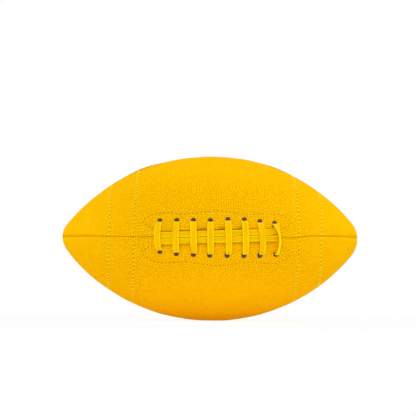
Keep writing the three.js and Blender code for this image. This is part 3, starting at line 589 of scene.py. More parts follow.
class Lacing:
    """Where the holes, the long strands and the facings' stitching lie."""

    def __init__(self, sizes):
        self.sizes = sizes
        self.reach = sizes.pitch * LAST / 2
        self.strand_width = STRAND_SHARE * sizes.width
        self.strand = (self.strand_width + LACE_GAP) / 2

    def hole(self, index, side):
        """The place along the ball of a hole's middle, and its arc from the middle of the front."""
        shift, arc = (UPPER_HOLES if side > 0 else LOWER_HOLES)[index]
        even = self.sizes.at + (index - LAST / 2) * self.sizes.pitch
        return even + shift * MM, side * arc * MM

    def openings(self, side):
        """What is cut from one lace panel: places along the ball, arcs, widths, heights, and how much
        of each height is a ledge of backing inside the cut."""
        sizes = self.sizes
        cuts = []
        for index in range(LAST + 1):
            x, arc = self.hole(index, side)
            room = SHARED_ROOM if index == LAST and side > 0 else 0
            height = sizes.hole_height
            cuts.append((x, arc - room / 2, sizes.hole_width, height + room, height / 2 + HOLE_LEDGE))
        left = self.hole(0, 1)[0] + LEFT_SLIT
        right = self.hole(LAST, 1)[0] + RIGHT_SLIT
        both = 2 * (self.strand + self.strand_width / 2 + SLIT_SLACK)
        cuts.append((left, self.strands_meet(left), SLIT_WIDTH, both, 0))
        lower = self.strands_meet(right) - self.strand
        cuts.append((right, lower, SLIT_WIDTH, self.strand_width + 2 * SLIT_SLACK, 0))
        return cuts

    def strands_meet(self, x):
        """The arc from the middle of the front to where the two long strands meet."""
        share = (x - self.sizes.at) / self.reach
        return self.sizes.strand_lift + self.sizes.strand_rise * share

    def trough(self, x, arc):
        """How deep the strands lie in the cover."""
        beside = arc - self.strands_meet(x)
        edge = self.strand + self.strand_width / 2
        above = smooth_step(edge, edge + TROUGH_WALL_ABOVE, beside)
        below = smooth_step(edge, edge + TROUGH_WALL_BELOW, -beside)
        past = np.abs(x - self.sizes.at) - self.reach
        ends = 1 - smooth_step(0, END_PAST, past)
        return self.sizes.trough * ends * (1 - above) * (1 - below)

    def dimples(self, x, arc):
        """How far the lace draws the cover in at its holes."""
        depth = np.zeros(np.broadcast(x, arc).shape)
        for index in range(LAST + 1):
            for side in (-1, 1):
                hole_x, hole_arc = self.hole(index, side)
                squares = (x - hole_x) ** 2 + (arc - hole_arc) ** 2
                depth += HOLE_DIMPLE * np.exp(-squares / HOLE_DIMPLE_REACH**2)
        return depth

    def shade(self, x, arc):
        """Painted shade on the cover where it curls down beside the strands."""
        beside = np.abs(arc - self.strands_meet(x)) - self.strand - self.strand_width / 2
        along = x - self.sizes.at
        ends = 1 - smooth_step(-END_PAST, 0, np.abs(along) - self.reach)
        fading = 1 - smooth_step(*SHADE_FADE, along)
        dark, at, reach = SHADE_ABOVE
        above = dark * fading * bell(beside - at, reach)
        at, reach = SHADE_SPOT_BESIDE
        for place, width, dark in SHADE_SPOTS:
            spot = np.exp(-(((along / MM - place) / width) ** 4)) * bell(beside - at, reach)
            above = np.maximum(above, dark * spot)
        dark, at, reach = SHADE_BELOW
        below = dark * bell(beside - at, reach)
        return ends * np.where(arc > self.strands_meet(x), above, below)

    def stitch_line(self, side):
        """The facing's stitched outline on one side, as places along the ball and arcs."""
        *half, crown = np.array(UPPER_FACING if side > 0 else LOWER_FACING) * MM
        half = np.array(half)
        corners = np.concatenate([half * (-1, 1), [crown], half[::-1]])
        line = smooth_line(corners, FACING_STEPS)
        return self.sizes.at + line[:, 0], side * line[:, 1]

    def stitch_groove(self, x, arc):
        """How far the facings' stitching draws the cover in."""
        depth = np.zeros(np.broadcast(x, arc).shape)
        for side in (-1, 1):
            line_x, line_arc = self.stitch_line(side)
            nearest = np.full(depth.shape, np.inf)
            for place, beside in zip(line_x, line_arc):
                nearest = np.minimum(nearest, (x - place) ** 2 + (arc - beside) ** 2)
            depth += STITCH_DRAW * np.exp(-nearest / STITCH_DRAW_REACH**2)
        return depth


def smooth_line(corners, steps):
    """A smooth line through corners, which leaves each one parallel to its neighbours' chord."""
    padded = np.concatenate([corners[:1], corners, corners[-1:]])
    shares = np.linspace(0, 1, steps, endpoint=False)[:, None]
    parts = []
    for before, start, end, after in zip(padded, padded[1:], padded[2:], padded[3:]):
        leave = (end - before) / 2
        arrive = (after - start) / 2
        cubic = 2 * start - 2 * end + leave + arrive
        square = 3 * end - 3 * start - 2 * leave - arrive
        parts.append(cubic * shares**3 + square * shares**2 + leave * shares + start)
    return np.concatenate([*parts, corners[-1:]])


# Relief of the cover

# Fuller places: along the ball, half width and height in mm, and the share more above and less below
SWELLS = ((-139, 9, 0.06, 9), (-70, 26, 0.7, 0.8), (58, 28, 0.7, 0.6), (138, 9, 0.04, 9))
LUMP = 0.12 * MM  # unevenness of the cover
LUMP_WAVES = ((47, 3, 0.4), (31, 5, 1.7), (69, 2, 2.9))  # length in mm, waves round the ball, phase
NOSE_FROM = 0.72  # share of the half length from which the creases widen
SEAM_RISE_LEFT = (68 * MM, 122 * MM, 0.95 * MM)  # where the front seam starts and ends its rise
SEAM_RISE_RIGHT = (70 * MM, 97 * MM, 2.2 * MM)  # above the middle, and how much it rises
TIP_RADIUS = 9 * MM  # of the nose, within which the swells and the seams' dips fade
SEAM_TURN_RADIUS = 6 * MM  # of the nose, within which the seam turns back to the pit
# Painted shade along the seams: its width, and its share at mid length and at the noses
SEAM_SHADE_WIDTH = 0.5 * MM
SEAM_SHADE_DARK = 0.5  # share of the painted shade colour in a seam at mid length
SEAM_SHADE_PALE = 0.02  # and at the noses
NOSE_SHADE = 0.2  # share of the painted shade colour above a seam at the noses
NOSE_SHADE_REACH = 1.8 * MM
DOTTED = (62 * MM, 78 * MM)  # from the middle of the ball, where a seam's painted shade breaks up into dots
SKEW_FULL = 22 * MM  # from a stripe's middle, within which its lean is full
SKEW_NONE = 48 * MM
BOW_REACH = 12 * MM  # of the bow beside a stripe's inner edge
DRAW_REACH = 2 * MM  # from a stitched row, within which it draws the cover in
SWEEP = (math.radians(35), math.radians(72))  # below the middle, where a sweep starts and is full


class Relief:
    """How far the cover lies below the ball's plain surface, and how much painted shade lies on it."""

    def __init__(self, scene):
        self.sizes = scene.football_ball
        self.stripes = scene.football_stripes
        self.ball = Ball(self.sizes)
        self.lacing = Lacing(scene.football_lacing)
        at = scene.football_lacing.at
        left = at - self.stripes.left_inner
        right = at + self.stripes.right_inner
        self.joints = [left - self.stripes.left_width, left, right, right + self.stripes.right_width]

    def front_seam(self, x):
        """The turn at which the front seam runs."""
        rise = 0
        for side, (start, end, most) in ((-1, SEAM_RISE_LEFT), (1, SEAM_RISE_RIGHT)):
            rise = rise + most * smooth_step(start, end, side * x)
        return rise / np.hypot(self.ball.radius_at(x), SEAM_TURN_RADIUS)

    def panel_turns(self, x, start, margin):
        """The turns at which a panel starts and ends, clear of its seams by a margin."""
        edge = margin / self.ball.radius_at(x)
        seam = self.front_seam(x)
        low = start + edge + (seam if start == 0 else 0)
        high = start + QUARTER - edge + (seam if start == -QUARTER else 0)
        return low, high

    def seam_distance(self, x, turn):
        """The arc to the nearest seam."""
        seam = np.where(np.abs(turn) < QUARTER / 2, self.front_seam(x), 0)
        beside = (turn + QUARTER / 2) % QUARTER - QUARTER / 2 - seam
        return self.ball.radius_at(x) * np.abs(beside)

    def noses(self, x):
        """0 over the belly, 1 at the tips of the noses."""
        return smooth_step(NOSE_FROM, 1, np.abs(x) / self.ball.half_length)

    def puckers(self, x):
        """1 at each hidden stitch of a seam, 0 between them."""
        return 0.5 + 0.5 * np.cos(2 * math.pi * x / self.sizes.seam_stitch)

    def joint_distance(self, x):
        """How far along the ball the nearest stripe joint is."""
        return np.min([np.abs(x - joint) for joint in self.joints], axis=0)

    def leaned(self, x, turn):
        """Places along the ball, moved so that the left stripes lean in, all inner edges bow out, and
        the left ones sweep out at the bottom."""
        left_outer, left_inner, right_inner, _ = self.joints
        lean = math.tan(self.stripes.skew) * self.ball.radius_at(x) * np.sin(turn)
        leaning = 1 - smooth_step(SKEW_FULL, SKEW_NONE, np.abs(x - (left_outer + left_inner) / 2))
        moved = x + lean * leaning
        sweep = self.stripes.left_sweep * smooth_step(*SWEEP, -turn)
        left = -self.stripes.left_bow / 2 * np.cos(2 * turn) - sweep
        right = self.stripes.right_bow / 2 * np.cos(2 * turn)
        for bow, inner in ((left, left_inner), (right, right_inner)):
            moved = moved + bow * bell(x - inner, BOW_REACH)
        return moved

    def depth(self, x, turn):
        """The cover's depth, without the stripes' recesses and joints."""
        sizes = self.sizes
        distance = self.seam_distance(x, turn)
        noses = self.noses(x)
        blunt = np.minimum(1, self.ball.radius_at(x) / TIP_RADIUS)
        reach = sizes.seam_roll + sizes.nose_crease * noses
        depth = rolled(distance, reach, sizes.seam_dip) * (1 + blunt) / 2
        depth = depth + sizes.nose_dip * noses * blunt * np.clip(1 - distance / reach, 0, 1) ** 2
        depth = depth + sizes.seam_pucker * self.puckers(x) * np.exp(-distance / reach)
        for length, around, phase in LUMP_WAVES:
            wave = np.sin(2 * math.pi * x / (length * MM) + phase) * np.cos(around * turn + phase)
            depth = depth + LUMP * wave * (1 - noses)
        for place, width, height, above in SWELLS:
            swell = bell(x / MM - place, width) * (1 + above * blunt * np.sin(turn))
            depth = depth - height * MM * swell
        return depth

    def front_depth(self, x, turn, row):
        """The depth of the two lace panels, with the lacing and the stitched rows drawn in. A row is a
        place along the ball before the stripes' lean."""
        arc = turn * self.ball.radius_at(x)
        drawn = self.stripes.draw * bell(self.joint_distance(row), DRAW_REACH)
        drawn = drawn + self.lacing.dimples(x, arc) + self.lacing.stitch_groove(x, arc)
        return np.maximum(self.depth(x, turn), self.lacing.trough(x, arc)) + drawn

    def painted_shade(self, x, turn):
        """The share of painted shade in the seams, dotted where the puckers are deep, and above the seams
        at the noses.
        """
        dark = SEAM_SHADE_DARK + (SEAM_SHADE_PALE - SEAM_SHADE_DARK) * self.noses(x)
        dotted = smooth_step(*DOTTED, np.abs(x)) * (1 - self.puckers(x))
        distance = self.seam_distance(x, turn)
        line = dark * (1 - dotted / 2) * np.exp(-distance / SEAM_SHADE_WIDTH)
        above = turn > self.front_seam(x)
        return line + NOSE_SHADE * self.noses(x) * above * bell(distance, NOSE_SHADE_REACH)

    def front_painted_shade(self, x, turn):
        """The share of painted shade on the two lace panels."""
        arc = turn * self.ball.radius_at(x)
        return np.clip(self.painted_shade(x, turn) + self.lacing.shade(x, arc), 0, 1)


# Meshes

SHARP_ANGLE = math.radians(55)


def linked(name, data):
    """A new object for a mesh, camera or lamp, linked to the scene."""
    made = bpy.data.objects.new(name, data)
    bpy.context.scene.collection.objects.link(made)
    return made


def smooth(mesh):
    """Shades a mesh smooth, apart from its sharp edges."""
    mesh.validate()
    mesh.polygons.foreach_set("use_smooth", np.ones(len(mesh.polygons), bool))
    mesh.set_sharp_from_angle(angle=SHARP_ANGLE)


def mesh_piece(name, points, faces, materials):
    """A smooth-shaded mesh object at the origin, with its materials."""
    mesh = bpy.data.meshes.new(name)
    mesh.from_pydata(np.asarray(points).tolist(), [], np.asarray(faces, dtype=object).tolist())
    for material in materials:
        mesh.materials.append(material)
    smooth(mesh)
    return linked(name, mesh)


def keep_attribute(piece, name, values):
    """Keeps one number for each point of a piece, for its material."""
    attribute = piece.data.attributes.new(name, "FLOAT", "POINT")
    attribute.data.foreach_set("value", np.asarray(values, np.float32).ravel())


def keep_skin_map(piece, places):
    """Keeps the place on the skin of each point of a piece as its UV map."""
    corners = np.empty(len(piece.data.loops), np.int32)
    piece.data.loops.foreach_get("vertex_index", corners)
    layer = piece.data.uv_layers.new(name=SKIN_MAP)
    layer.data.foreach_set("uv", places.reshape(-1, 2)[corners].astype(np.float32).ravel())


def quads(*corners):
    """Faces from the numbers of their first, second, third and fourth corners."""
    return np.stack(corners, axis=-1).reshape(-1, 4)


def shell(outer, inner):
    """Points and faces of a closed sheet between two grids, with rows along +X and columns round."""
    rows, columns = outer.shape[:2]
    top = np.arange(rows * columns).reshape(rows, columns)
    under = top + rows * columns
    rim = np.concatenate([top[:, 0], top[-1, 1:], top[-2::-1, -1], top[0, -2:0:-1]])
    foot = rim + rows * columns
    faces = np.concatenate([
        quads(top[:-1, :-1], top[1:, :-1], top[1:, 1:], top[:-1, 1:]),
        quads(under[:-1, 1:], under[1:, 1:], under[1:, :-1], under[:-1, :-1]),
        quads(rim, foot, np.roll(foot, -1), np.roll(rim, -1)),
    ])
    return np.concatenate([outer.reshape(-1, 3), inner.reshape(-1, 3)]), faces


def rings_solid(rings):
    """Points and faces of a closed solid through rings of points, each run round anticlockwise."""
    count, sides = rings.shape[:2]
    index = np.arange(count * sides).reshape(count, sides)
    following = np.roll(index, -1, axis=1)
    bands = quads(index[:-1], following[:-1], following[1:], index[1:]).tolist()
    return rings.reshape(-1, 3), [*bands, index[0][::-1].tolist(), index[-1].tolist()]


def finish_piece(piece, node):
    """Hands a finished piece to the frame in place of its CAD node."""
    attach(piece, BODY)
    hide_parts(node)


def make_plain(piece, modifier):
    """Gives a piece the mesh that its modifier makes, and removes the modifier."""
    graph = bpy.context.evaluated_depsgraph_get()
    mesh = bpy.data.meshes.new_from_object(piece.evaluated_get(graph), depsgraph=graph)
    piece.modifiers.remove(modifier)
    piece.data = mesh
    smooth(mesh)


def cut(piece, cutter):
    """Cuts a piece by a cutter, whose material the walls of the cut take, and removes the cutter."""
    boolean = piece.modifiers.new("cut", "BOOLEAN")
    boolean.operation = "DIFFERENCE"
    boolean.solver = "EXACT"
    boolean.material_mode = "TRANSFER"
    boolean.object = cutter
    make_plain(piece, boolean)
    bpy.data.objects.remove(cutter)


# Cover panels and stripes

EDGE_STEPS = np.array([0, 0.12, 0.3, 0.55, 0.9, 1.4]) * MM  # rows beside a joint or a seam
FINE_STEP = 0.85 * MM
COARSE_STEP = 2 * MM
FINE_REACH = 29 * MM  # from the lacing, within which the columns are fine
NOSE_ROWS = 26
LEAST_SKIN = 0.5 * MM
# The panels: name, turn at which each starts, and 1 above the lacing, -1 below it or 0 behind
QUARTERS = (
    ("front_upper", 0, 1),
    ("rear_upper", QUARTER, 0),
    ("rear_lower", 2 * QUARTER, 0),
    ("front_lower", -QUARTER, -1),
)
LACE_QUARTERS = [quarter for quarter in QUARTERS if quarter[2]]


def crowded(start, end, step, at_start=True, at_end=True):
    """Places from start to end, a step apart, and crowded at the ends that are asked for."""
    head = start + EDGE_STEPS if at_start else np.array([start])
    tail = end - EDGE_STEPS[::-1] if at_end else np.array([end])
    count = max(1, math.ceil((tail[0] - head[-1]) / step))
    middle = np.linspace(head[-1], tail[0], count + 1)[1:-1]
    return np.concatenate([head, middle, tail])


def column_turns(relief, rows, start, laced):
    """The turns of a panel's columns at each row, clear of its two seams by half a seam's gap. The
    columns are fine beside the lacing."""
    width = relief.ball.radius * QUARTER
    if laced:
        fine = crowded(0, FINE_REACH, FINE_STEP, at_end=False)
        coarse = crowded(FINE_REACH, width, COARSE_STEP, at_start=False)[1:]
        shares = np.concatenate([fine, coarse]) / width
    else:
        shares = crowded(0, width, COARSE_STEP) / width
    if laced < 0:
        shares = 1 - shares[::-1]
    low, high = relief.panel_turns(rows, start, relief.sizes.seam_gap / 2)
    return low[:, None] + (high - low)[:, None] * shares


def panel_rows(relief, laced):
    """Places along a panel, and whether each lies in a stripe's recess."""
    left = relief.ball.nose_rows(-1, NOSE_ROWS)
    right = relief.ball.nose_rows(1, NOSE_ROWS)[::-1]
    if laced:
        first, second, third, fourth = relief.joints
        belly = [
            (crowded(left[-1], first, COARSE_STEP, at_start=False), False),
            (crowded(first, second, COARSE_STEP), True),
            (crowded(second, third, FINE_STEP), False),
            (crowded(third, fourth, COARSE_STEP), True),
            (crowded(fourth, right[0], COARSE_STEP, at_end=False), False),
        ]
    else:
        belly = [(crowded(left[-1], right[0], COARSE_STEP, at_start=False, at_end=False), False)]
    parts = [(left[:-1], False), *belly, (right[1:], False)]
    rows = np.concatenate([places for places, _ in parts])
    sunk = np.concatenate([np.full(len(places), recess) for places, recess in parts])
    return rows, sunk


def leather_sheet(relief, colours, name, x, turn, depths, painted_shade):
    """A sheet of leather between two depths, laid flat on the surface that the ball rests on."""
    grids = [relief.ball.point(x, turn, depth) for depth in depths]
    for points in grids:
        points[..., 2] = np.maximum(points[..., 2], 0)
    piece = mesh_piece(name, *shell(*grids), [embossed_pebble_leather(colours)])
    # Keeps the share of painted shade for the material
    keep_attribute(piece, "painted_shade", np.concatenate([painted_shade, painted_shade]))
    keep_skin_map(piece, np.concatenate([relief.ball.skin(x, turn)] * 2))
    return piece


def panel_piece(relief, colours, name, start, laced):
    """One cover panel without its holes."""
    rows, sunk = panel_rows(relief, laced)
    turn = column_turns(relief, rows, start, laced)
    x = np.broadcast_to(rows[:, None], turn.shape)
    if laced:
        x = relief.leaned(x, turn)
        stripes = relief.stripes
        edge = rolled(relief.joint_distance(rows), stripes.joint_roll, stripes.joint_dip)
        depth = relief.front_depth(x, turn, rows[:, None]) + (edge + sunk * stripes.recess)[:, None]
        painted_shade = relief.front_painted_shade(x, turn)
    else:
        depth = relief.depth(x, turn)
        painted_shade = relief.painted_shade(x, turn)
    floor = np.maximum(relief.sizes.cover, depth + LEAST_SKIN)
    return leather_sheet(relief, colours, f"{name}_panel_leather", x, turn, (depth, floor), painted_shade)


def stripe_piece(relief, colours, name, side, start, laced):
    """One stripe band, flush with the cover."""
    stripes = relief.stripes
    first, last = relief.joints[:2] if side < 0 else relief.joints[2:]
    gap = stripes.joint / 2
    rows = crowded(first + gap, last - gap, COARSE_STEP)
    turn = column_turns(relief, rows, start, laced)
    x = relief.leaned(np.broadcast_to(rows[:, None], turn.shape), turn)
    edge = rolled(np.minimum(rows - rows[0], rows[-1] - rows), stripes.joint_roll, stripes.joint_dip)
    depth = relief.front_depth(x, turn, rows[:, None]) + edge[:, None]
    floor = depth + stripes.thickness - edge[:, None] / 2
    painted_shade = relief.front_painted_shade(x, turn)
    return leather_sheet(relief, colours, f"{name}_band", x, turn, (depth, floor), painted_shade)


HOLE_RINGS = ((-1.75, 0), (-1, 0.15), (-0.6, 0.45), (0, 0.75), (4, 1.3))  # height and flare in mm
THROUGH_RINGS = (-6, -1.85)  # heights in mm of the part that goes on past the ledge
WALL_BANDS = 3  # of faces between the lowest rings, which show the backing
HOLE_SIDES = 28
HOLE_SQUARENESS = 2.5  # 2 is an ellipse


def local_axes(ball, x, turn):
    """A place on the surface, with its directions along the ball, round it and outwards."""
    out = ball.normal(x, turn)
    around = ball.around(turn)
    return ball.point(x, turn, 0), np.cross(around, out), around, out


def hole_cutter(relief, colours, side):
    """A plug for each opening in one lace panel, as one object. Its flared top cuts a rim that stays
    leather. In the lace holes the rest shows the backing, with a ledge beside the lace."""
    angles = angles_round(HOLE_SIDES)
    power = 2 / HOLE_SQUARENESS
    wide = np.sign(np.cos(angles)) * np.abs(np.cos(angles)) ** power
    high = np.sign(np.sin(angles)) * np.abs(np.sin(angles)) ** power
    points = []
    faces = []
    walls = []
    for x, arc, width, height, ledge in relief.lacing.openings(side):
        turn = arc / float(relief.ball.radius_at(x))
        middle, along, around, out = local_axes(relief.ball, x, turn)
        levels = [(level, 0, ledge) for level in THROUGH_RINGS]
        levels += [(level, flare, 0) for level, flare in HOLE_RINGS]
        rings = np.array([
            middle
            + out * (level * MM)
            + np.outer(wide * (width / 2 + flare * MM), along)
            + np.outer(high * ((height - less) / 2 + flare * MM) - side * less / 2, around)
            for level, flare, less in levels
        ])
        ring_points, ring_faces = rings_solid(rings)
        offset = len(points)
        points.extend(ring_points.tolist())
        faces.extend([[offset + corner for corner in face] for face in ring_faces])
        walls.extend([ledge > 0 and i < WALL_BANDS * HOLE_SIDES for i in range(len(ring_faces))])
    finishes = [embossed_pebble_leather(colours), bonded_fibre_backing(colours)]
    cutter = mesh_piece("lace_holes", points, faces, finishes)
    cutter.data.polygons.foreach_set("material_index", np.array(walls, np.int32))
    return cutter


# Stitching

STITCH_SEED = 7
STITCH_SIDES = 8
STITCH_SEGMENTS = 5
STITCH_SINK = 0.45 * MM  # of a stitch's ends below its path
STITCH_SETTLE = 0.2 * MM  # how far a stripe's stitches press into the leather
NEEDLE_FLAT = 0.35  # height of a needle hole's rim as a share of its width
FACING_SINK = 0.12 * MM  # how far the facings' stitches press in at the right end of the lacing
FACING_SINK_FROM = (0, 35 * MM)  # from the middle of the lacing, where they start to and where in full
UNEVEN = math.radians(7)  # how far a stitch may turn from its slant
STITCH_RISE = 0.15  # of a stripe's stitch over the leather, as a share of its thread's diameter
STRIPE_NEEDLE = 0.36  # radius of a stripe's needle holes as a share of that diameter
FACING_NEEDLE = 0.55  # and of the facings'
ROW_POINTS = 60  # of a stitched row's path
STITCH_INPUTS = {
    "Geometry": ("Path",),
    "Float": ("Pitch", "Length", "Thread", "Rise", "Slant", "Needle Hole"),
    "Int": ("Seed",),
    "Material": ("Thread Finish", "Hole Finish"),
}


def stitch_tree():
    """Geometry nodes that lay slanted stitches, with a needle hole at each end, along a path."""
    tree = bpy.data.node_groups.get("stitched_row")
    if tree is not None:
        return tree
    tree = bpy.data.node_groups.new("stitched_row", "GeometryNodeTree")
    for kind, names in STITCH_INPUTS.items():
        for name in names:
            tree.interface.new_socket(name, in_out="INPUT", socket_type=f"NodeSocket{kind}")
    tree.interface.new_socket("Stitches", in_out="OUTPUT", socket_type="NodeSocketGeometry")
    given = put(tree, "NodeGroupInput").outputs

    # Places and directions along the path
    curve = put(tree, "GeometryNodeMeshToCurve", {0: given["Path"]})
    spaced = {"Curve": curve, "Length": given["Pitch"]}
    places = put(tree, "GeometryNodeResampleCurve", spaced, mode="LENGTH")
    tangent = put(tree, "GeometryNodeInputTangent")
    upward = put(tree, "GeometryNodeInputNamedAttribute", {"Name": "up"}, data_type="FLOAT_VECTOR")
    ahead = put(tree, "FunctionNodeAlignRotationToVector", {"Vector": tangent}, axis="X")
    upright = {"Rotation": ahead, "Vector": upward}
    level = put(tree, "FunctionNodeAlignRotationToVector", upright, axis="Z", pivot_axis="X")
    either_way = {2: -UNEVEN, 3: UNEVEN, "Seed": given["Seed"]}
    uneven = put(tree, "FunctionNodeRandomValue", either_way, data_type="FLOAT")
    slant = put(tree, "ShaderNodeMath", {0: given["Slant"], 1: uneven}, operation="ADD")
    turn = put(tree, "FunctionNodeAxisAngleToRotation", {"Axis": (0, 0, -1), "Angle": slant})
    facing = put(tree, "FunctionNodeRotateRotation", {0: level, 1: turn}, rotation_space="LOCAL")

    # One stitch, arched over the surface
    half = put(tree, "ShaderNodeMath", {0: given["Length"], 1: 0.5}, operation="MULTIPLY")
    back = put(tree, "ShaderNodeMath", {0: given["Length"], 1: -0.5}, operation="MULTIPLY")
    peak = put(tree, "ShaderNodeMath", {0: given["Rise"], 1: 2, 2: STITCH_SINK}, operation="MULTIPLY_ADD")
    bends = {
        "Start": put(tree, "ShaderNodeCombineXYZ", {"X": back, "Z": -STITCH_SINK}),
        "Middle": put(tree, "ShaderNodeCombineXYZ", {"Z": peak}),
        "End": put(tree, "ShaderNodeCombineXYZ", {"X": half, "Z": -STITCH_SINK}),
    }
    arch = put(tree, "GeometryNodeCurveQuadraticBezier", {"Resolution": STITCH_SEGMENTS, **bends})
    radius = put(tree, "ShaderNodeMath", {0: given["Thread"], 1: 0.5}, operation="MULTIPLY")
    section = put(tree, "GeometryNodeCurvePrimitiveCircle", {"Resolution": STITCH_SIDES, "Radius": radius})
    swept = {"Curve": arch, "Profile Curve": section, "Fill Caps": True}
    stitch = put(tree, "GeometryNodeCurveToMesh", swept)

    # The two needle holes of a stitch: flattened beads of darker leather, painted shade for the holes
    bead = put(tree, "GeometryNodeMeshIcoSphere", {"Radius": given["Needle Hole"], "Subdivisions": 2})
    pair = put(tree, "GeometryNodeJoinGeometry")
    for offset in (back, half):
        shift = put(tree, "ShaderNodeCombineXYZ", {"X": offset})
        flattened = {0: bead, "Translation": shift, "Scale": (1, 1, NEEDLE_FLAT)}
        fill(tree, pair, {0: put(tree, "GeometryNodeTransform", flattened)})

    # Both along the whole path
    laid = put(tree, "GeometryNodeJoinGeometry")
    for shape, finish in ((stitch, "Thread Finish"), (pair, "Hole Finish")):
        placed = {"Points": places, "Instance": shape, "Rotation": facing}
        copies = put(tree, "GeometryNodeInstanceOnPoints", placed)
        real = put(tree, "GeometryNodeRealizeInstances", {0: copies})
        coated = {"Geometry": real, "Material": given[finish]}
        fill(tree, laid, {0: put(tree, "GeometryNodeSetMaterial", coated)})
    put(tree, "NodeGroupOutput", {0: laid})
    return tree


def stitched_piece(name, points, ups, values):
    """A piece of stitches laid along a path of points, each with the surface's outward direction."""
    path = bpy.data.meshes.new(f"{name}_path")
    edges = [(i, i + 1) for i in range(len(points) - 1)]
    path.from_pydata(np.asarray(points).tolist(), edges, [])
    path.attributes.new("up", "FLOAT_VECTOR", "POINT").data.foreach_set("vector", np.ravel(ups))
    piece = linked(name, path)
    modifier = piece.modifiers.new("stitches", "NODES")
    modifier.node_group = stitch_tree()
    for item in modifier.node_group.interface.items_tree:
        if item.in_out == "INPUT" and item.name in values:
            modifier[item.identifier] = values[item.name]
    make_plain(piece, modifier)
    return piece


def sew(relief, node, x, turn, depth, values):
    """Sews a row of stitches along a path on the ball, in place of its CAD node."""
    points = relief.ball.point(x, turn, depth)
    piece = stitched_piece(f"{node}_stitches", points, relief.ball.normal(x, turn), values)
    finish_piece(piece, node)


# Lace

LACE_STEP = 0.7 * MM
LACE_CLEAR = 0.08 * MM  # between the lace and what it lies on
LACE_BEND = 2.4 * MM  # how far from a hole the lace starts to bend into it
LACE_CURVE = 2.2 * MM  # how far from a soft corner the lace starts to turn
LACE_LEAD = 5 * MM  # straight run on the inside before the lace slants off
LACE_TAIL = 8 * MM  # loose end left on the inside
PASS_GAP = 0.6 * MM  # between two runs that share a hole
UNDER_RUN = 7.6 * MM  # depth of the inner runs
DEEP_RUN = 10.1 * MM  # depth of the inner runs that cross under others
TURN_SHARE = 0.98  # most of a straight run that the turns at its ends take up
LEAST_TURN = 1e-9  # which keeps a run between two sharp corners from a division by nothing
TURN_STEPS = 12  # points of each run and of each turn, before they are spaced evenly
STEEP = 0.7  # sine of the angle to the surface's normal below which the lace goes in or out
ROUTE_EVENED = 3  # how often the lace's route is evened out
TWIST_EVENED = 5  # and its twist
BOWS = np.array([-1.9, -0.6, 0, 0, 0.3, 0.5, 1, 2.7]) * MM  # of the cross laces, to the right
FEET = np.array([0, 0.3, 0.8, 0.8, 1.3, 1.2, 2, 0]) * MM  # how far right of its lower hole each starts
LOW_SHADE_HEIGHTS = (0, 0.8 * MM)  # heights over the cover between which the lace's painted shade fades out
STRAND_SHADE_EASE = (12 * MM, 46 * MM)  # from the middle of the lacing, where the strands' painted shade eases
STRAND_SHADE_EASE_SHARE = 0.8  # of that painted shade that is missing at their right ends
CROWN_SHARE = 1.3  # of its swell by which a cross lace rises, so that it lies level over the strands
CROSS_SHARES = (-0.7, -0.35, 0, 0.35, 0.7)  # where a cross lace's corners lie between its holes
LAST_ROLL = math.radians(76)  # the last cross lace stands almost on edge
CRUMPLE = 0.62  # width of the lace where a strand turns into the last upper hole
PINCH = 0.86  # width of the lace in a hole
CURL_AT = 1.6 * MM  # past the last holes, where that strand turns
CURL_BEND = 3.4 * MM  # how far from there it starts to turn
CURL_FROM = 5 * MM  # before the last holes, where it starts to crumple
# A quarter of the lace's section, as shares of half its width and thickness
LACE_SECTION = ((1, 0), (0.97, 0.55), (0.87, 1), (0.72, 0.9), (0.5, 0.82), (0, 0.8))


